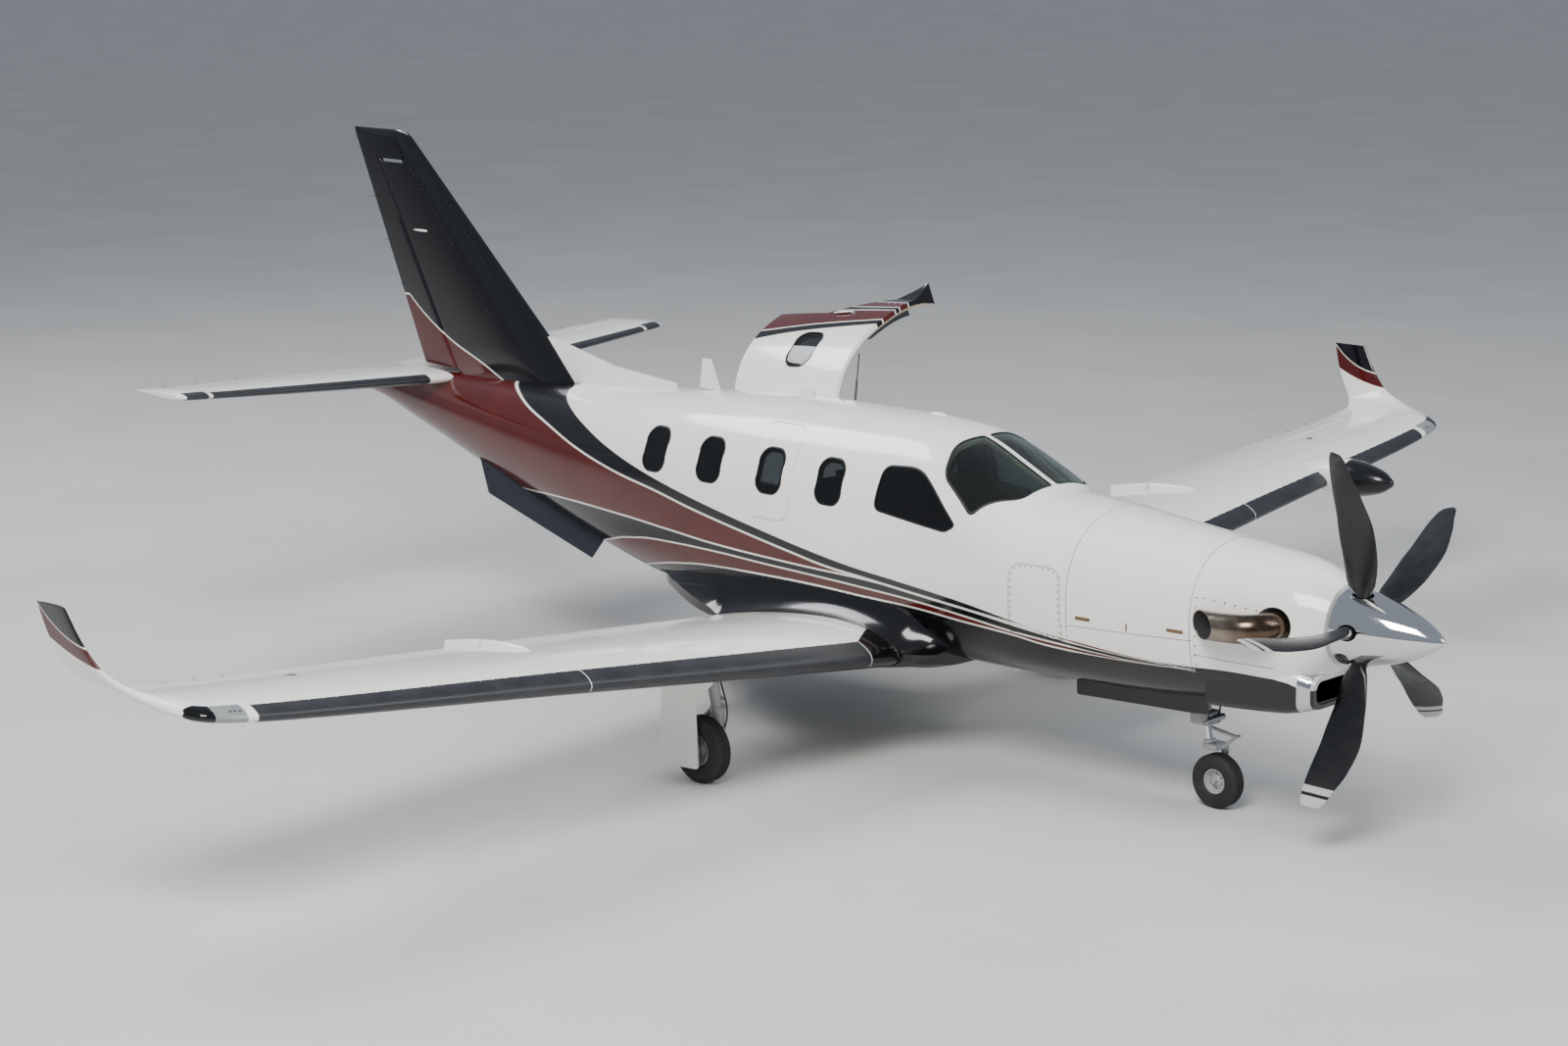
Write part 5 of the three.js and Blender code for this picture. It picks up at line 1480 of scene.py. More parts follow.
def spun(piece, k):
    rotate = Matrix.Rotation(math.radians(FIRST_BLADE + 72 * k), 4, "X")
    piece.data.transform(Matrix.Translation(place(at(BLADE_STATION), 0, THRUST_Z)) @ rotate)
    return piece


def blade(name):
    rings = []
    for radius in steps(118.4, 1155, 60):
        flat = 1.0 + 0.45 * max(0.0, min(1.0, (radius - 240) / 200))
        rings.append(blade_ring(radius, smooth(BLADES, radius), flat=flat))
    tip = [Vector(p) for p in rings[-1]]
    middle = sum(tip, Vector()) / len(tip)
    for share, lift in ((0.8, 0.6), (0.4, 0.9)):
        rings.append([middle + (p - middle) * share + Vector((0, 0, lift)) for p in tip])
    return loft(name, rings)


def blade_paint():
    """Dark grey, with two pale stripes on the front of each blade's tip."""
    made, tree, shader, where = new_material("erosion_grey_blade_paint")
    _, y, z = add(tree, "ShaderNodeSeparateXYZ", Vector=where).outputs
    up = sum_up(tree, "SUBTRACT", z, THRUST_Z * MM)
    square = sum_up(tree, "ADD", sum_up(tree, "MULTIPLY", up, up), sum_up(tree, "MULTIPLY", y, y))
    radius = sum_up(tree, "MULTIPLY", sum_up(tree, "SQRT", square), 1000.0)
    colour = mottle(tree, noise(tree, where, 8.0, 6.0, 0.6), 0.4, 0.8, linear("121315"), linear("1d1e21"), 0.6)
    normal = add(tree, "ShaderNodeTexCoord").outputs["Normal"]
    _, normal_y, normal_z = add(tree, "ShaderNodeSeparateXYZ", Vector=normal).outputs
    ahead, behind = (sum_up(tree, "MULTIPLY", a, b) for a, b in ((normal_y, up), (normal_z, y)))
    front = spread(tree, sum_up(tree, "SUBTRACT", ahead, behind), 0.0, 0.002, 0, 1)
    for middle, half in ((1045.0, 22), (1122.0, 33)):
        band = stripe(tree, sum_up(tree, "SUBTRACT", radius, middle), half)
        colour = mix(tree, sum_up(tree, "MULTIPLY", band, front), colour, linear("b9b8b4"))
    colour_with(tree, shader, colour)
    roughen(tree, shader, noise(tree, where, 12.0, 5.0), 0.3, 0.8, 0.24, 0.4)
    bump(tree, shader, noise(tree, where, 1 / 0.002, 2.0), 0.08, 0.0003)
    return made


charcoal = blade_paint()
for k in range(5):
    rings = [blade_ring(r, row, 4) for r, row in ((100, BLADES[0][1:]), (330, [150, 96, 100, -2]))]
    subtract(spinner_skin, spun(loft("slot", rings), k))
    made = spun(blade(f"blade_{k + 1}"), k)
    dress(made, "propeller", "blade_paint", charcoal, angle=40, replaces=[f"propeller_blade_{k + 1}"])
dress(spinner_skin, "propeller", "chrome", chrome, angle=30, replaces=["spinner"])

# %% [markdown]
# Two stacks leave the cowl low on its sides and bend aft. They are welded stainless tube, heat tinted, cut off
# obliquely and black with soot inside. The chin intake has a polished lip.

# %% Exhausts and intake lip


def tube_path(points, count):
    """Points of a smooth curve through the given ones, evenly spread."""
    table = [[i, *p] for i, p in enumerate(points)]
    return [Vector(smooth(table, t)) for t in steps(0, len(points) - 1, count)]


def pipe(name, path, radii, sides=48):
    rings = []
    for i, p in enumerate(path):
        ahead = (path[min(i + 1, len(path) - 1)] - path[max(i - 1, 0)]).normalized()
        u = ahead.cross(UP).normalized()
        rings.append(circle(p, u, u.cross(ahead), radii[i] if isinstance(radii, list) else radii, sides))
    return loft(name, rings)


STACK = [
    (1010, 235.4, 1395), (1010, 390, 1395), (1080, 520, 1391),
    (1200, 560, 1385), (1410, 585, 1379), (1575, 592, 1374),
]
SCARF = ((1570, 478), (1215, 690), (1215, 760), (1800, 760), (1800, 478))
STACK_R, BORE_R = 92, 86


def scarf(side, shift=0):
    """Cuts a stack's end obliquely."""
    return loft("scarf", [[(at(s) + shift, side * y, z) for s, y in SCARF] for z in (1200, 1600)])


for side, label in SIDES:
    path = tube_path([(at(s), side * y, z) for s, y, z in STACK], 55)
    beyond = path[-1] + (path[-1] - path[-2]).normalized() * 40
    outer = pipe("exhaust_stack_" + label, path, STACK_R)
    subtract(outer, pipe("cut", path[26:] + [beyond], BORE_R), scarf(side))
    dress(outer, "airframe", "steel", exhaust_steel, angle=40, replaces=["exhaust_" + label])
    liner = pipe("exhaust_inside_" + label, path[24:], BORE_R + 0.4)
    subtract(liner, pipe("cut", path[27:] + [beyond], BORE_R - 1.2), scarf(side, 4))
    dress(liner, "airframe", "black_paint", soot)


def lip_ring(s, grow):
    half, low, high = smooth(CHIN, max(s, 770))
    return rounded_ring(s, half + grow, low - grow, high + grow, 78 + grow)


LIP = ((880, 1.6), (850, 1.6), (820, 1.4), (795, 0.6), (783, -3), (775, -8), (770.6, -15), (771, -22), (777, -27))
LIP_INSIDE = [
    (790, 229, 899, 1045, 56),
    (830, 227.5, 899.6, 1044.6, 56),
    (860, 226.6, 899.8, 1044, 56),
    (860, 240, 888, 1056, 66),
]
lip_rings = [lip_ring(s, grow) for s, grow in LIP] + [rounded_ring(*row) for row in LIP_INSIDE]
dress(loft("intake_lip", lip_rings, True), "airframe", "chrome", polished, angle=50)
print("propeller, exhausts and lip made")

# %% [markdown]
# The wheels are two-piece alloy rims with grooved tyres. Each main wheel hangs on a trailing link leg with its
# door outboard of it. The nose wheel sits in a one-sided fork that steers below a fixed strut.

# %% Wheels


def tyre_rubber():
    made, tree, shader, where = new_material("tyre_rubber")
    dust = noise(tree, where, 9.0, 6.0, 0.65)
    colour_with(tree, shader, mottle(tree, dust, 0.45, 0.8, linear("1b1b1c"), linear("3a3835"), 0.7))
    roughen(tree, shader, dust, 0.3, 0.8, 0.62, 0.85)
    bump(tree, shader, noise(tree, where, 1 / 0.0012, 3.0), 0.2, 0.0003)
    return made


tyre_black = tyre_rubber()
gear_paint = plain_paint("landing_gear_enamel_grey", "9fa1a2", 0.32)
brake_iron = metal("cast_iron_brake", "6c6a68", 0.5, 0.15, 20.0, 1 / 0.002)
hose_rubber = rubber("brake_hose_rubber", "141416", 0.55)
MAIN = {"station": 4585, "radius": 229, "half": 73, "rim": 108, "axle": 22}
WHEELS = {
    "nose": {"station": 1695, "y": 0, "radius": 181, "half": 63, "rim": 84, "axle": 14},
    "main_right": {**MAIN, "y": -1885},
    "main_left": {**MAIN, "y": 1885},
}
TYRE = ((0.58, 0.992), (0.72, 0.972), (0.86, 0.925), (0.97, 0.85), (1, 0.76), (0.985, 0.7))
RIM = (
    (-0.36, 0.34), (-0.42, 0.36), (-0.3, 0.44), (-0.26, 0.72), (-0.34, 0.8),
    (-0.56, 0.86), (-0.68, 0.9), (-0.7, 0.97), (-0.66, 1),
)
BOLT_CIRCLE = 0.58


def tyre_outline(radius, half, rim):
    """Half of the tyre's outside from the middle of the tread to the bead, mirrored."""
    shape = [(0, radius)]
    for middle in (half * 0.14, half * 0.4):
        shape += [(middle + y, radius - deep) for y, deep in ((-5, 0.6), (-4, 5), (4, 5), (5, 0.6))]
    shape += [(half * y, radius * r) for y, r in TYRE]
    shape += [(half * 0.93, radius * 0.64 + 2), (half * 0.94, radius * 0.63)]
    shape += [(half * 0.88, rim + (radius - rim) * 0.16), (half * 0.74, rim + 3), (half * 0.66, rim + 0.6)]
    return [(-y, r) for y, r in reversed(shape[1:])] + shape


for name, wheel in WHEELS.items():
    centre = Vector((at(wheel["station"]), wheel["y"], wheel["radius"]))
    half, rim = wheel["half"], wheel["rim"]
    body = "nose_wheel" if name == "nose" else name.replace("main_", "main_wheel_")
    holes = 6 if name == "nose" else 9

    def on_bolt_circle(turns, y):
        a = 2 * math.pi * turns / holes
        return centre + Vector((rim * BOLT_CIRCLE * math.cos(a), y, rim * BOLT_CIRCLE * math.sin(a)))

    made = lathe(name + "_tyre_tread", tyre_outline(wheel["radius"], half, rim), centre, (0, 1, 0), 96, True)
    dress(made, body, "tyre", tyre_black, angle=40, replaces=[name + "_tyre"])
    outline = [(-0.4 * half, wheel["axle"] + 0.6)] + [(y * half, rim * r) for y, r in RIM]
    outline += [(-y, r) for y, r in reversed(outline)]
    made = lathe(name + "_rim_alloy", outline, centre, (0, 1, 0), 72, True)
    for k in range(holes):
        subtract(made, bar("hole", on_bolt_circle(k + 0.5, -half), on_bolt_circle(k + 0.5, half), rim * 0.1, sides=20))
    dress(made, body, "alloy", gear_paint, angle=30, replaces=[name + "_rim"])
    bolts = [(on_bolt_circle(k, sign * half * 0.262), (0, sign, 0)) for k in range(holes) for sign in (-1, 1)]
    stamp(name + "_rim_bolts", bolts, steel, 4.6 if name == "nose" else 6.5, 8, body, "steel", 1.0, 6)

# %% Main legs with their doors
LEG_Y = WHEELS["main_left"]["y"]
LEG_DOOR = [(4836, 1100), (4340, 1100), (4342, 755), (4500, 620), (4537, 560), (4516, 119), (4881, 93)]
LEG_DOOR_ROUND = [1, 1, 60, 70, 60, 26, 26]
LEG_DOOR_FRAME = [(4800, 760), (4400, 740), (4560, 585), (4556, 170), (4830, 150)]
BRAKE = [(0, 44), (0, 84), (5, 86), (13, 86), (18, 84), (18, 44)]


def rounded_bar(name, start, end, r, end_r=None, edge=4):
    """A turned bar with its ends chamfered."""
    start, end = Vector(start), Vector(end)
    ahead = (end - start).normalized()
    length, end_r = (end - start).length, r if end_r is None else end_r
    outline = [(0, r - edge), (edge, r), (length - edge, end_r), (length, end_r - edge)]
    return lathe(name, outline, start, ahead, 36)


def add_bars(target, *bars):
    """Adds turned bars, each given as start, end, chamfer, radius and, where it tapers, end radius."""
    for start, end, edge, *radii in bars:
        add_on(target, rounded_bar("bar", start, end, *radii, edge=edge))
    return target


def soft_box(name, x0, x1, y0, y1, z0, z1, edge=6):
    made = box(name, x0, x1, y0, y1, z0, z1)
    work = made.modifiers.new("edge", "BEVEL")
    work.width, work.segments = edge * MM, 3
    bake(made)
    return made


def flipped(piece):
    made = mirrored(piece, piece.name)
    drop(piece)
    return made


def standing_plate(name, outline, depth, y):
    return plate(name, [(at(s), z) for s, z in outline], depth, (1, 0, 0), (0, 0, 1), (0, y, 0))


def leg_parts(x, y, radius):
    """Strut, links, chromed tube, brake and hose of the left leg."""
    strut = rounded_bar("leg", (x + 60, y - 20, 838), (x + 30, y - 120, 480), 44, 38)
    add_bars(strut, ((x + 30, y - 120, 520), (x + 22, y - 128, 330), 4, 50, 44))
    add_on(strut, soft_box("c", x - 40, x + 50, y - 158, y - 98, 192, 358))
    add_bars(
        strut,
        ((x, y - 150, radius), (x, y + 60, radius), 2, 22),
        ((x + 60, y - 60, 800), (x + 60, y - 520, 838), 2, 20),
    )
    add_on(strut, soft_box("f", x + 42, x + 78, y - 543, y - 507, 817, 904))
    add_on(strut, soft_box("g", x + 12, x + 108, y - 58, y + 38, 792, 904))
    for z, r in ((352, 56), (498, 55), (560, 48)):
        low, high = ((x + 22 + (z + up - 321) * 0.05, y - 127 + (z - 330) * 0.04, z + up) for up in (-9, 9))
        add_bars(strut, (low, high, 3, r))
    links = rounded_bar("links", (x - 30, y - 124, 470), (x - 110, y - 124, 400), 22, 18, edge=3)
    add_bars(
        links,
        ((x - 110, y - 124, 410), (x - 10, y - 128, 250), 3, 20, 24),
        ((x - 110, y - 152, 405), (x - 110, y - 96, 405), 2, 17),
    )
    chromed = rounded_bar("chromed", (x + 22, y - 128, 362), (x + 22, y - 128, 190), 26, edge=2)
    brake = lathe("brake", BRAKE, (x, y - 70, radius), (0, 1, 0), 48, True)
    add_on(brake, soft_box("calliper", x - 30, x + 36, y - 86, y - 52, radius + 40, radius + 104, 5))
    run = [(66, -74, 784), (80, -122, 640), (92, -150, 480), (74, -150, 380), (22, -92, radius + 98)]
    hose = pipe("hose", tube_path([(x + ahead, y + out, z) for ahead, out, z in run], 40), 6, 12)
    return [strut, links, chromed, brake, hose]


def leg_doors():
    door = standing_plate("leg_door", rounded(LEG_DOOR, LEG_DOOR_ROUND, 5), 14, LEG_Y + 110)
    subtract(door, loft("under", [wing_ring(row, 0.4) for row in wing_rows(5)]))
    combine(door, box("keep", at(5000), at(4200), 1900, 2060, 0, 900), "INTERSECT")
    return [door, standing_plate("leg_door_frame", rounded(LEG_DOOR_FRAME, 40, 5), 5, LEG_Y + 95.6)]


LEG_PIECES = (
    ("main_leg_strut", "gear_paint", gear_paint, "main_leg"),
    ("main_leg_links", "gear_paint", gear_paint, None),
    ("main_leg_chromed_tube", "steel", chrome, None),
    ("main_brake", "steel", brake_iron, None),
    ("main_brake_hose", "black_paint", hose_rubber, None),
    ("main_leg_door", "white_paint", white_paint, "main_gear_door"),
    ("main_leg_door_frame", "gear_paint", gear_paint, None),
)
for side, label in reversed(SIDES):
    pieces = leg_parts(at(MAIN["station"]), LEG_Y, MAIN["radius"]) + leg_doors()
    if side < 0:
        pieces = [flipped(piece) for piece in pieces]
    for piece, (called, slot, finish, node) in zip(pieces, LEG_PIECES):
        piece.name = f"{called}_{label}"
        dress(piece, "airframe", slot, finish, replaces=[f"{node}_{label}"] if node else ())

# %% Nose leg, fork and doors
NOSE = WHEELS["nose"]
LEAN, TRAIL = 0.2, 18


def steer_at(z):
    return at(NOSE["station"]) - TRAIL - (z - NOSE["radius"]) * LEAN


nose_strut = rounded_bar("nose_leg_strut", (steer_at(1000), 0, 1000), (steer_at(600), 0, 600), 43)
add_on(nose_strut, soft_box("b", steer_at(600) - 88, steer_at(600) + 68, -68, 68, 546, 638, 14))
add_bars(nose_strut, ((steer_at(700) - 260, 0, 860), (steer_at(620) - 40, 0, 600), 3, 17))
add_on(nose_strut, soft_box("d", steer_at(1000) - 58, steer_at(1000) + 58, -254, 254, 962, 1018))
for z, r in ((700, 50), (820, 49), (930, 50)):
    add_bars(nose_strut, ((steer_at(z - 10), 0, z - 10), (steer_at(z + 10), 0, z + 10), 3, r))
dress(nose_strut, "airframe", "gear_paint", gear_paint, replaces=["nose_leg"])
x, radius = at(NOSE["station"]), NOSE["radius"]
nose_fork = soft_box("nose_fork_casting", steer_at(410) - 46, steer_at(410) + 68, -40, 92, 382, 424, 14)
add_on(nose_fork, soft_box("b", x - 34, x + 24, 71, 92, radius - 28, 398, 7))
add_bars(
    nose_fork,
    ((x, 64.6, radius), (x, 96, radius), 4, 34),
    ((x, -52, radius), (x, 88, radius), 2, 14),
    ((steer_at(530) + 26, 0, 526), (x + 150, 0, 500), 2, 13, 11),
    ((x + 150, 0, 506), (x + 30, 0, 407), 2, 11, 13),
    ((x + 150, -24, 503), (x + 150, 24, 503), 2, 11),
    ((steer_at(450), 0, 450), (steer_at(424), 0, 424), 4, 40),
)
dress(nose_fork, "nose_steering", "gear_paint", gear_paint, replaces=["nose_fork"])
x, z = steer_at(596), 596
actuator = rounded_bar("steering_actuator", (x + 84, -112, z), (x + 84, 52, z), 17, edge=3)
add_bars(actuator, ((x + 84, 48, z), (x + 84, 74, z), 3, 21), ((x + 84, -150, z), (x + 84, -108, z), 1, 7))
for y in (-92, -30, 30):
    add_bars(actuator, ((x + 60, y, z), (x + 84, y, z), 2, 9))
for y in (-50, 50):
    for bolt_z in (562, 622):
        add_on(actuator, bar("bolt", (x + 62, y, bolt_z), (x + 77, y, bolt_z), 9, 8, 6))
dress(actuator, "airframe", "alloy", alloy, angle=40)
run = [(steer_at(760) + 60, 34, 900), (steer_at(700) + 62, 40, 760), (steer_at(640) + 96, 30, 668), (x + 92, 8, 622)]
dress(pipe("nose_brake_lines", tube_path(run, 26), 6, 16), "airframe", "tyre", hose_rubber, angle=40)
fork_tube = rounded_bar("nose_fork_chromed_tube", (steer_at(538.6), 0, 538.6), (steer_at(448), 0, 448), 29.8, edge=1)
dress(fork_tube, "nose_steering", "steel", chrome)
NOSE_DOOR = [(2660, 830), (1570, 830), (1575, 704), (1700, 690), (2660, 640)]
for side, label in reversed(SIDES):
    door = standing_plate("nose_door", rounded(NOSE_DOOR, [1, 1, 8, 30, 24], 4), 10, 277)
    subtract(door, hull("cut", 1320, 2720, -0.4))
    if side < 0:
        door = flipped(door)
    door.name = "nose_wheel_door_" + label
    dress(door, "airframe", "black_paint", black_paint, replaces=["nose_gear_door_" + label])

# %% Door stay
EYE = Vector((at(DOOR["front"] + 16), 548, 1800))
open_eye = swing @ (EYE * MM) / MM
stay_foot = Vector((open_eye.x, 446, 985))
run = (open_eye - stay_foot).normalized()
reach = (open_eye - stay_foot).length
print("stay", round(reach), [round(v) for v in open_eye])
TUBE = [(0, 6), (3, 12.5), (14, 12.6), (20, 10.5), (26, 12.6), (784, 12.6), (790, 10), (790, 5)]
ROD = [(798, 5), (798, 8.6), (1340, 8.6), (1348, 5.2), (reach - 14, 5.2), (reach - 14, 3)]
FOOT_EYE = [(-9, 4), (-9, 10), (-7, 12), (7, 12), (9, 10), (9, 4)]
stay_tube = lathe("stay_tube", TUBE, stay_foot, run, 32)
subtract(stay_tube, bar("cut", stay_foot + run * 30, stay_foot + run * 900, 9.2, sides=24))
dress(stay_tube, "stay_cylinder", "steel", hose_rubber)
stay_rod = lathe("stay_rod_sleeve", ROD, stay_foot, run, 24)
dress(stay_rod, "stay_rod", "steel", dark_steel, replaces=["door_stay_rod"])
foot_eye = lathe("stay_foot_eye", FOOT_EYE, stay_foot, (1, 0, 0), 24)
dress(foot_eye, "stay_cylinder", "steel", steel, replaces=["door_stay_cylinder"])

# %% [markdown]
# The cabin: seats in pale leather. A cushion is a crowned form, made from a box whose sides are pulled in
# between its corners and whose top is puffed up, with sewn channels across it.

# %% Leather


def leather_finish():
    made, tree, shader, where = new_material("full_grain_leather_cream")
    stain = noise(tree, where, 7.0, 5.0, 0.6)
    colour_with(tree, shader, mottle(tree, stain, 0.35, 0.75, linear("b39d7c"), linear("a48d6b")))
    grain = add(tree, "ShaderNodeTexVoronoi", {"feature": "DISTANCE_TO_EDGE"}, Vector=where, Scale=1 / 0.003)
    bump(tree, shader, grain.outputs[0], 0.25, 0.0004)
    roughen(tree, shader, stain, 0.3, 0.8, 0.42, 0.55)
    return made


leather = leather_finish()
GRID = 30


def cushion(name, width, depth, thick, crown, channels):
    """A crowned pad: x runs along its depth, y across, z up from its underside."""
    points, faces = [], []

    def outside(u, v):
        edge_u, edge_v = 1 - abs(u) ** 3.2, 1 - abs(v) ** 3.2
        x = depth / 2 * u * (1 - 0.03 * (1 - v * v) * abs(u) ** 6)
        y = width / 2 * v * (1 - 0.03 * (1 - u * u) * abs(v) ** 6)
        puff = crown * (max(edge_u, 0) * max(edge_v, 0)) ** 0.55
        sewn = sum(math.exp(-(((u - (2 * k / channels - 1)) * depth / 2) / 9) ** 2) for k in range(1, channels))
        return x, y, puff - 7 * sewn * max(0, edge_v) ** 0.4

    for layer in (1, 0):
        for i in range(GRID + 1):
            for j in range(GRID + 1):
                u, v = -1 + 2 * i / GRID, -1 + 2 * j / GRID
                x, y, rise = outside(u, v)
                rim = max(abs(u), abs(v))
                side = thick * 0.62 if layer else thick * 0.12
                z = side + rise if layer else side - thick * 0.12 * (1 - rim**8)
                points.append((x, y, z))
    row, size = GRID + 1, (GRID + 1) * (GRID + 1)
    for a in (i * row + j for i in range(GRID) for j in range(GRID)):
        faces.append((a, a + row, a + row + 1, a + 1))
        faces.append((size + a, size + a + 1, size + a + row + 1, size + a + row))
    for a in range(0, GRID * row, row):
        faces.append((a, size + a, size + a + row, a + row))
        faces.append((a + GRID, a + row + GRID, size + a + row + GRID, size + a + GRID))
    for j in range(GRID):
        faces.append((j, j + 1, size + j + 1, size + j))
        a = GRID * row + j
        faces.append((a, size + a, size + a + 1, a + 1))
    made = build(name, points, faces)
    work = made.modifiers.new("soften", "SUBSURF")
    work.levels = work.render_levels = 1
    bake(made)
    return made


def upholstered(name, station, y, facing, width, heel=170, foot=None):
    """A seat in its own axes (ahead, across, up), turned to the way it faces."""
    turned = Matrix.Translation(place(at(station), y, 960))
    if facing < 0:
        turned = turned @ Matrix.Rotation(math.pi, 4, "Z")
    foot = width / 2 - 90 if foot is None else foot
    upright = math.atan2(140, 560) - math.pi / 2
    parts = []
    lanes = 1 if width < 500 else 2
    span = (width - 20) / lanes
    for lane in range(lanes):
        middle = -width / 2 + 10 + span * (lane + 0.5)
        for pad, spot, tilt, sink in (
            (cushion("pad", span - 4, 486, 118, 26, 4), (4, middle, 278), 0, 0),
            (cushion("rest", span - 24, 500, 92, 16, 5), (-186, middle, 640), upright - 0.02, 46),
            (cushion("head", min(span - 90, 280), 110, 66, 12, 1), (-268, middle, 894), upright, 30),
        ):
            tilted = Matrix.Rotation(tilt, 4, "Y") @ Matrix.Translation(place(0, 0, -sink))
            pad.data.transform(Matrix.Translation(place(*spot)) @ tilted)
            parts.append(pad)
    soft = merge(name + "_upholstery", parts)
    base = soft_box(name + "_base", -heel, 168, -foot, foot, 2, 276, 10)
    for piece in (soft, base):
        piece.data.transform(turned)
    dress(soft, "airframe", "leather", leather, angle=60, replaces=[name])
    dress(base, "airframe", "panel", frame_grey)


for name, station, y, facing in (
    ("pilot_seat", 4120, 270, 1),
    ("copilot_seat", 4120, -270, 1),
    ("cabin_seat_left", 4960, 300, -1),
    ("cabin_seat_right", 4960, -300, -1),
):
    upholstered(name, station, y, facing, 430)
upholstered("aft_bench", 6720, 0, 1, 720, 20, 150)

# %% Instrument panel, control wheels and entry steps
def panel_plastic():
    made, tree, shader, where = new_material("moulded_panel_plastic")
    grain = noise(tree, where, 20.0, 4.0)
    colour_with(tree, shader, mottle(tree, grain, 0.35, 0.75, linear("2c2d2f"), linear("242527")))
    bump(tree, shader, noise(tree, where, 1 / 0.0012, 2.0), 0.3, 0.0003)
    set_shader(shader, Roughness=0.55)
    return made


panel_dark = panel_plastic()
display = new_material("display_glass_off")[0]
set_shader(display.node_tree.nodes["Principled BSDF"], Base_Color=linear("07090c"), Roughness=0.08)
board = soft_box("instrument_board", at(3330), at(3182), -468, 468, 1382, 1650, 8)
add_on(board, soft_box("b", at(3330), at(2962), -418, 418, 1652, 1688, 12))
add_on(board, soft_box("c", at(3330), at(2962), -138, 138, 962, 1656, 10))
dress(board, "airframe", "panel", panel_dark, replaces=["instrument_panel"])
screens = [soft_box("s", at(3333.5), at(3329), y - 128, y + 128, 1448, 1622, 2) for y in (-290, 0, 290)]
dress(merge("displays", screens), "airframe", "glass", display)
KNOB_Y, KNOB_Z = (-440, -140, -150, 140, 150, 440), (1470, 1535, 1600)
knobs = [(Vector((at(3331), y, z)), (-1, 0, 0)) for y in KNOB_Y for z in KNOB_Z]
stamp("panel_knobs", knobs, frame_grey, 6.5, 14, "airframe", "panel", 1.0, 16)
GRIP = [(-120, 78), (-132, 20), (-104, -34), (-50, -30), (0, -8), (50, -30), (104, -34), (132, 20), (120, 78)]
yokes = []
for y in (-290, 290):
    yokes.append(bar("column", (at(3328), y, 1400), (at(3470), y, 1400), 15, sides=24))
    yokes.append(pipe("grip", tube_path([(at(3470), y + w, 1400 + h) for w, h in GRIP], 60), 12, 14))
dress(merge("control_wheels", yokes), "airframe", "panel", panel_dark)
steps_made = [soft_box("post", at(s + 30), at(s), 172, 338, 962, 1498, 5) for s in (5450, 6410)]
steps_made += [soft_box("tread", at(6430), at(5460), 182, 328, 1011 + 190 * k, 1034 + 190 * k, 5) for k in range(3)]
dress(merge("folded_entry_steps", steps_made), "airframe", "alloy", alloy, replaces=["entry_steps"])
carpet = rubber("cabin_carpet", "4a4238", 0.9, 1 / 0.0025)
dress(box("carpet_strip", at(6600), at(3340), -420, 420, 960.2, 964), "airframe", "leather", carpet)
coat(nodes["engine_block"], dark_steel)

# %% [markdown]
# What stands on the skins: the radar pod in the left wing's leading edge, lamps in the wing tips behind clear
# covers, antennas, fuel caps and the wicks that drain static charge off the trailing edges.

# %% Radar pod and wing tip lamps
POD = [
    [0, 2], [12, 24], [30, 38], [60, 60], [100, 84], [220, 122],
    [340, 143], [480, 148], [600, 138], [820, 89], [940, 46], [1000, 3],
]
POD_LENGTH = POD[-1][0]


def pod_paint():
    made, tree, shader, where = new_material("radome_black_and_white_topcoat")
    station, _, _ = station_and_height(tree, where)
    lacquer(tree, shader, where, mix(tree, step_up(tree, station, 3872), linear("0d0e11"), TONE["white"]), 0.16)
    return made


pod_places = [POD_LENGTH * (0.5 - 0.5 * math.cos(math.pi * t)) for t in steps(0, 1, 44)]
pod = lathe("radar_pod", [(a, smooth(POD, a)[0]) for a in pod_places], (at(3470), 4520, 1225), (-1, 0, 0), 72)
dress(pod, "airframe", "black_paint", pod_paint(), angle=50)
lamp_smoked = tinted("polycarbonate_lens_smoked", "14171a", 0.04)
lamp_clear = tinted("polycarbonate_lens_clear", "b9c2c6", 0.03)
POSITION_LAMP = ((6060, 6075, 6095, 6115, 6132), (6131, 6150, 6165, 6178, 6190))
for side, label in SIDES:
    lens = wing_boot("lens", side, 5866, 6058, (104, 96), (58, 52), 20, 2.2)
    dress(lens, "airframe", "glass", lamp_clear, angle=50).name = "wing_tip_lens_" + label
    inner, outer = ([wing_section(y, side) for y in row] for row in POSITION_LAMP)
    smoked = nose_strip("lens", inner, (97, 92), (52, 50), 2.4)
    add_on(smoked, nose_strip("lens", outer, (92, 14), (50, 8), 2.4))
    dress(smoked, "airframe", "glass", lamp_smoked, angle=50).name = "position_lamp_lens_" + label
    for k, y in enumerate((5900, 5930, 5960)):
        point, chord = wing_section(y, side)
        spot = Vector(point(34 / chord, 1, 1.6))
        lamp = bar("lamp", spot + Vector((0, 0, -4)), spot + Vector((6, 0, 4)), 11, 9, 20)
        dress(lamp, "airframe", "chrome", polished).name = f"wing_tip_lamp_{label}_{k + 1}"


def winglet_paint():
    """White below, then a maroon band, a thin white line, and a black top."""
    made, tree, shader, where = new_material("polyurethane_topcoat_wing")
    station, _, z = station_and_height(tree, where)
    low = above_line(tree, station, z, [(4815, 1600), (5050, 1642), (5310, 1722)])
    high = above_line(tree, station, z, [(4935, 1712), (5150, 1772), (5373, 1915)])
    colour = mix(tree, step_up(tree, low), TONE["white"], TONE["maroon"])
    colour = mix(tree, step_up(tree, high), colour, TONE["black"])
    lacquer(tree, shader, where, mix(tree, stripe(tree, high, 4.5), colour, TONE["line"]))
    return made


wing_paint = winglet_paint()
for label in ("left", "right"):
    coat(bpy.data.objects["wing_skin_" + label], wing_paint)

# %% Antennas, caps and wicks


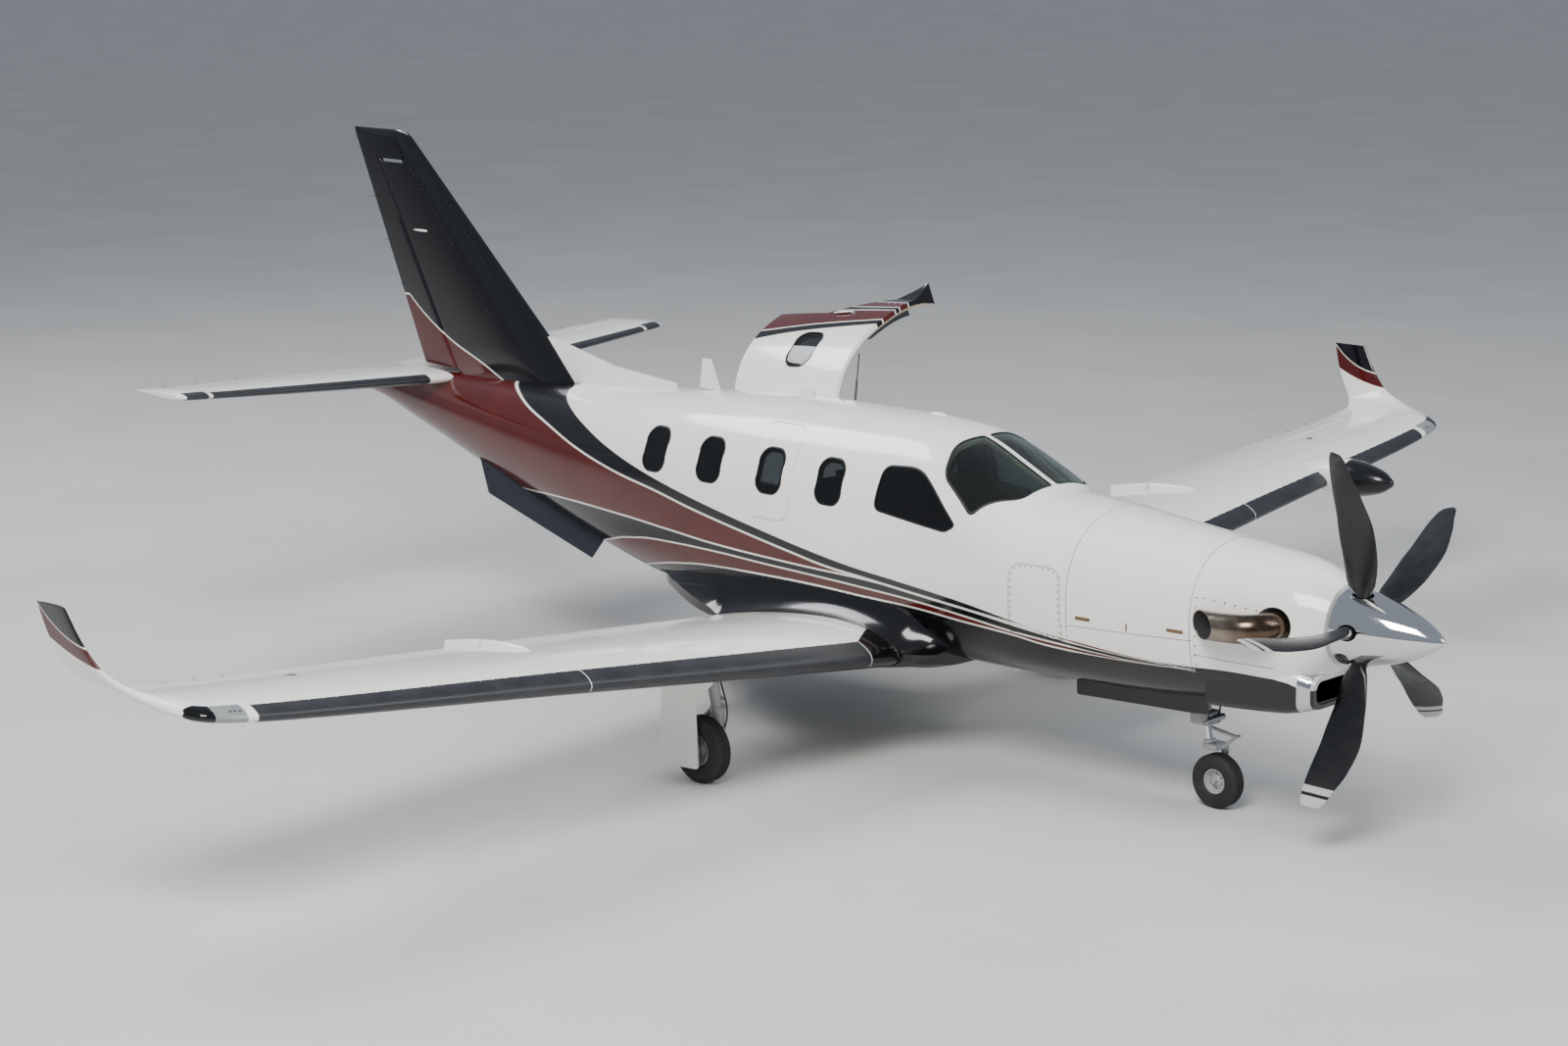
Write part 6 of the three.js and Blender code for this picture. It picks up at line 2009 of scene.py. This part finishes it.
def blade_antenna(name, foot, up, height, root, tip, rake, thick):
    """A thin streamlined blade that leans aft."""
    foot, up = Vector(foot), Vector(up).normalized()
    aft = Vector((-1, 0, 0))
    aft = (aft - up * aft.dot(up)).normalized()
    across = up.cross(aft)
    rings = []
    for share in steps(0, 1, 8):
        chord = root + (tip - root) * share
        narrow = 1 - 0.45 * share - (0.4 if share == 1 else 0)
        ring = []
        for k in range(24):
            a = 2 * math.pi * k / 24
            along = chord * (0.5 - 0.5 * math.cos(a)) + rake * share
            side = thick / 2 * math.sin(a) * (1 - 0.35 * math.cos(a)) * narrow
            ring.append(foot + up * (height * share - 4) + aft * along + across * side)
        rings.append(ring)
    return loft(name, rings)


def round_blister(name, station, y, length, width, rise):
    """A low streamlined cover on the roof."""
    rings = []
    for t in steps(0.02, 0.98, 20):
        size = math.sin(math.pi * t**0.8) ** 0.6
        foot, normal = on_roof(station + length * t, y)
        across = normal.cross(Vector((1, 0, 0))).normalized()
        ring = []
        for k in range(13):
            a = math.pi * k / 12
            ring.append(foot + across * (width / 2 * size * math.cos(a)) + normal * (rise * size * math.sin(a) - 2))
        rings.append(ring)
    return loft(name, rings)


box_foot = on_roof(5480, 60)[0]
aerials = [
    blade_antenna("a", on_roof(6330, 0)[0], UP, 224, 230, 96, 96, 22),
    round_blister("b", 4950, 0, 120, 74, 22),
    blade_antenna("c", (at(3370), 0, 690), -UP, 84, 120, 60, 40, 14),
    blade_antenna("d", (at(6320), 0, 742), -UP, 92, 110, 60, 36, 14),
    round_blister("e", 4150, 90, 170, 62, 16),
    soft_box("f", box_foot.x - 55, box_foot.x + 55, 34, 90, box_foot.z - 8, box_foot.z + 58, 8),
]
dress(merge("antennas", aerials), "airframe", "white_paint", white_paint, angle=40)
BULLET = [(0, 0.6), (6, 5), (22, 8.5), (60, 9.5), (120, 8.5), (160, 5), (182, 0.6)]
bullet = lathe("fin_bullet_antenna", BULLET, (at(9672), -62, 3170), (-1, 0, 0), 24)
add_on(bullet, bar("post", (at(9752), -8, 3170), (at(9752), -60, 3170), 6, 5, 16))
bullets = [bullet, mirrored(bullet, "twin")]
dress(merge("fin_navigation_antennas", bullets), "airframe", "white_paint", white_paint, angle=50)


def wick(x, y, z, length=72):
    """A rod in its foot, at a point of a trailing edge."""
    start = Vector((x + 8, y, z))
    made = bar("wick", start, start + Vector((-length, 0, 0)), 2.0, 1.2, 10)
    return add_on(made, bar("foot", start, start + Vector((-16, 0, 0)), 3.4, 2.6, 10))


CAP = [(-4, 40), (1.2, 40), (2.2, 38), (2.2, 14), (3.0, 12), (3.0, 0.5)]
caps, wicks = [], {}
for side, label in SIDES:
    caps.append(lathe("cap", CAP, (at(4700), side * 5130, wing_surface(5130, 4700)[0]), UP, 40))
    for y in (5250, 5480, 5710):
        station, z, chord, _, _ = wing_at(y)
        wicks.setdefault("aileron_" + label, []).append(wick(at(station + chord), side * y, z - 2))
    for y in (1500, 1900, 2200):
        station, z, chord, _ = smooth(TAIL, y)
        wicks.setdefault("elevator_" + label, []).append(wick(at(station + chord), side * y, z))
dress(merge("fuel_caps", caps), "airframe", "alloy", alloy, angle=40)
wicks["rudder"] = [wick(at(fin_row(z)[0] + fin_row(z)[1]), 0, z) for z in (2700, 3050, 3400)]
for body, made in wicks.items():
    dress(merge("static_wicks_" + body, made), body, "black_paint", hose_rubber)

# %% Horn tips of the tailplane: a dark boot on each one's leading edge
for side, label in SIDES:
    horn = nose_strip("horn_boot", [tail_section(y, side) for y in steps(2262, 2440, 8)], (92, 84), (88, 80), 1.4)
    dress(horn, f"elevator_{label}", "black_paint", neoprene).name = "horn_boot_" + label

# %% [markdown]
# Panels, latches and screws. A panel's edge is a dark hairline laid on the skin. Screws and rivets are stamped
# by Geometry Nodes on points that follow the same outlines.

# %% Panel lines on cowl and cabin


def side_line(points, side, closed=False, half=1.8, proud=0.35):
    """A hairline on the side wall."""
    section = [(-half, -1.5), (-half, proud), (half, proud), (half, -1.5)]
    return side_strip("line", dense([Vector(p) for p in points], closed, 20), side, section, closed)


def ring_line(station, z_low, half=2.0, proud=0.35):
    """A seam round the body at one station, over the roof, down to a height on each side."""
    top, _, _, wide, _, _ = smooth(SECTIONS, station)
    heights = steps(z_low, wide + (top - wide) * 0.72, 26)
    right, left = ([on_side(station, z, side, proud)[0] for z in heights] for side in (-1, 1))
    edge = abs(right[-1].y)
    over = [on_roof(station, y, proud)[0] for y in steps(-edge, edge, 30)[1:-1]]
    path = right + over + list(reversed(left))
    wide_by = Vector((half, 0, 0))
    rings = []
    for i, p in enumerate(path):
        ahead = (path[min(i + 1, len(path) - 1)] - path[max(i - 1, 0)]).normalized()
        out = faced(Vector((1, 0, 0)).cross(ahead).normalized(), Vector((0, p.y, p.z - 1350)))
        rings.append([p + wide_by, p - wide_by, p - wide_by - out * 2, p + wide_by - out * 2])
    return loft("ring_line", rings)


def along(outline, pitch):
    """Points evenly spaced along an open outline."""
    points = dense([Vector(p) for p in outline], False, 4)
    made, gone = [], 0.0
    for a, b in zip(points, points[1:]):
        while gone <= (b - a).length:
            made.append(a.lerp(b, gone / max((b - a).length, 1e-6)))
            gone += pitch
        gone -= (b - a).length
    return made


def screw_row(outline, pitch, side):
    return [on_side(p.x, p.y, side, 0.2) for p in along(outline, pitch)]


ACCESS = [(2965, 1080), (2540, 1080), (2556, 1500), (2610, 1550), (2905, 1550), (2962, 1500)]
ACCESS_ROUND = [2, 2, 40, 60, 60, 40]
COWL_SEAMS = ([(2483, 1193), (1900, 1212), (1558, 1226)], [(1010, 1120), (1300, 1126), (1558, 1140)])
SCREW_ROWS = (
    ([(1540, 1010), (1540, 1530)], 62),
    ([(1120, 1480), (1520, 1512)], 74),
    ([(2500, 1000), (2500, 1180)], 60),
)
access = rounded(ACCESS, ACCESS_ROUND, 5)
lines, screws = [], []
for side in (-1, 1):
    lines.append(side_line(access, side, True))
    screws += screw_row([p for p in grown(access, -14) if p.y > 1080], 46, side)
    lines += [side_line(points, side) for points in COWL_SEAMS]
    for points, pitch in SCREW_ROWS:
        screws += screw_row(points, pitch, side)
lines += [ring_line(station, low) for station, low in ((2500, 1150), (1575, 990))]
line_dark = rubber("panel_gap_shadow", "2b2c2e", 0.6)
dress(merge("panel_lines", lines), "airframe", "black_paint", line_dark, angle=40)
LATCHES = ((2370, 1253, 114, 24), (1680, 1273, 118, 24), (2036, 1247, 12, 50))
latches = []
for side in (-1, 1):
    for s, z, w, h in LATCHES:
        corners = [(s + u * w / 2, z + v * h / 2) for u, v in ((-1, -1), (1, -1), (1, 1), (-1, 1))]
        inward = 0.1 - min(w, h) / 2
        latches.append(side_strip("t", rounded(corners, 3, 2), side, [(inward, -1), (inward, 1.2), (0, 0.9), (0, -1)]))
bronze = metal("anodised_bronze_latch", "8a7556", 0.3, 0.12, 30.0)
dress(merge("cowl_latches", latches), "airframe", "steel", bronze, angle=40)

# %% Screws of cowl, fairing, fin and door
FAIRING_SCREWS = [
    (3826, 936), (4023, 1050), (4352, 1067), (4693, 1069),
    (5048, 1054), (5351, 1041), (5731, 999), (6119, 936),
]
for side in (-1, 1):
    for p in along(FAIRING_SCREWS, 74):
        if side < 0 or p.x <= DOOR["front"] - 60:
            y, z = fairing_fillet(p.x, 0.06)
            screws.append((Vector((at(p.x), side * y, z)), Vector((0, side, 0.35))))
stamp("cowl_and_fairing_screws", screws, dark_steel, 6.0, 1.6, "airframe", "steel", 1.0, 12)
rivets = []
for z in steps(2520, 3800, 34):
    station, chord, thickness = fin_row(z)
    for share in (0.1, 0.3):
        h = (half_thickness(thickness, share) + BLUNT) * chord
        for side in (-1, 1):
            rivets.append((Vector((at(station + share * chord), side * h, z)), Vector((0.1, side, 0))))
stamp("fin_rivets", rivets, fin_finish, 4.6, 1.6, "airframe", "black_paint", 1.0, 12)
handle = [on_side(s, z, 1, 9)[0] for s, z in ((6010, 1436), (5960, 1428), (5900, 1418), (5840, 1408))]
door_handle = pipe("entry_door_handle", handle, [6, 9, 9, 7], 20)
add_on(door_handle, bar("boss", on_side(5850, 1410, 1, -3)[0], on_side(5850, 1410, 1, 14)[0], 17, 15, 24))
door_handle.data.transform(swing)
dress(door_handle, "door", "chrome", polished)
DOOR_SCREWS = [(5530 + 70 * k, 1335) for k in range(5)] + [(5530 + 62 * k, 1210) for k in range(3)] + [(5530, 1085)]
door_screws = []
for s, z in DOOR_SCREWS:
    spot, normal = on_side(s, z, 1, 0.4)
    door_screws.append(((swing @ (spot * MM)) / MM, turn.to_3x3() @ normal))
stamp("door_screws", door_screws, steel, 7.0, 1.8, "door", "steel")

# %% [markdown]
# The studio: a pale floor and soft lights set high on the camera's side.

# %% Floor, lights and world


def floor_finish():
    made, tree, shader, where = new_material("pale_matt_floor")
    cloudy = noise(tree, where, 0.6, 3.0)
    colour_with(tree, shader, mottle(tree, cloudy, 0.3, 0.7, linear("d3d2cf"), linear("cbcac7")))
    set_shader(shader, Roughness=0.75)
    return made


FLOOR_REACH = 400000
floor = box("studio_floor", -FLOOR_REACH, FLOOR_REACH, -FLOOR_REACH, FLOOR_REACH, -40, 0)
coat(floor, floor_finish())


def area_light(name, spot, target, size, power, colour=(1, 1, 1)):
    data = bpy.data.lights.new(name, "AREA")
    data.shape, data.size, data.size_y = "RECTANGLE", size[0], size[1]
    data.energy, data.color = power, colour
    lamp = bpy.data.objects.new(name, data)
    bpy.context.collection.objects.link(lamp)
    lamp.location = spot
    lamp.rotation_euler = (Vector(target) - Vector(spot)).to_track_quat("-Z", "Y").to_euler()
    return lamp


area_light("key", (9, -14, 17), (0, 0, 1), (9, 9), 5200, (1, 0.97, 0.93))
area_light("fill", (16, 6, 12), (0, 0, 1.2), (9, 9), 1500, (0.93, 0.96, 1))
area_light("rim", (-13, -3, 17), (0, 0, 1.5), (8, 8), 2400, (0.96, 0.98, 1))
world = bpy.data.worlds.new("studio")
bpy.context.scene.world = world
world.use_nodes = True
backdrop = world.node_tree.nodes["Background"]
backdrop.inputs["Color"].default_value = (0.72, 0.8, 0.92, 1)
backdrop.inputs["Strength"].default_value = 0.42
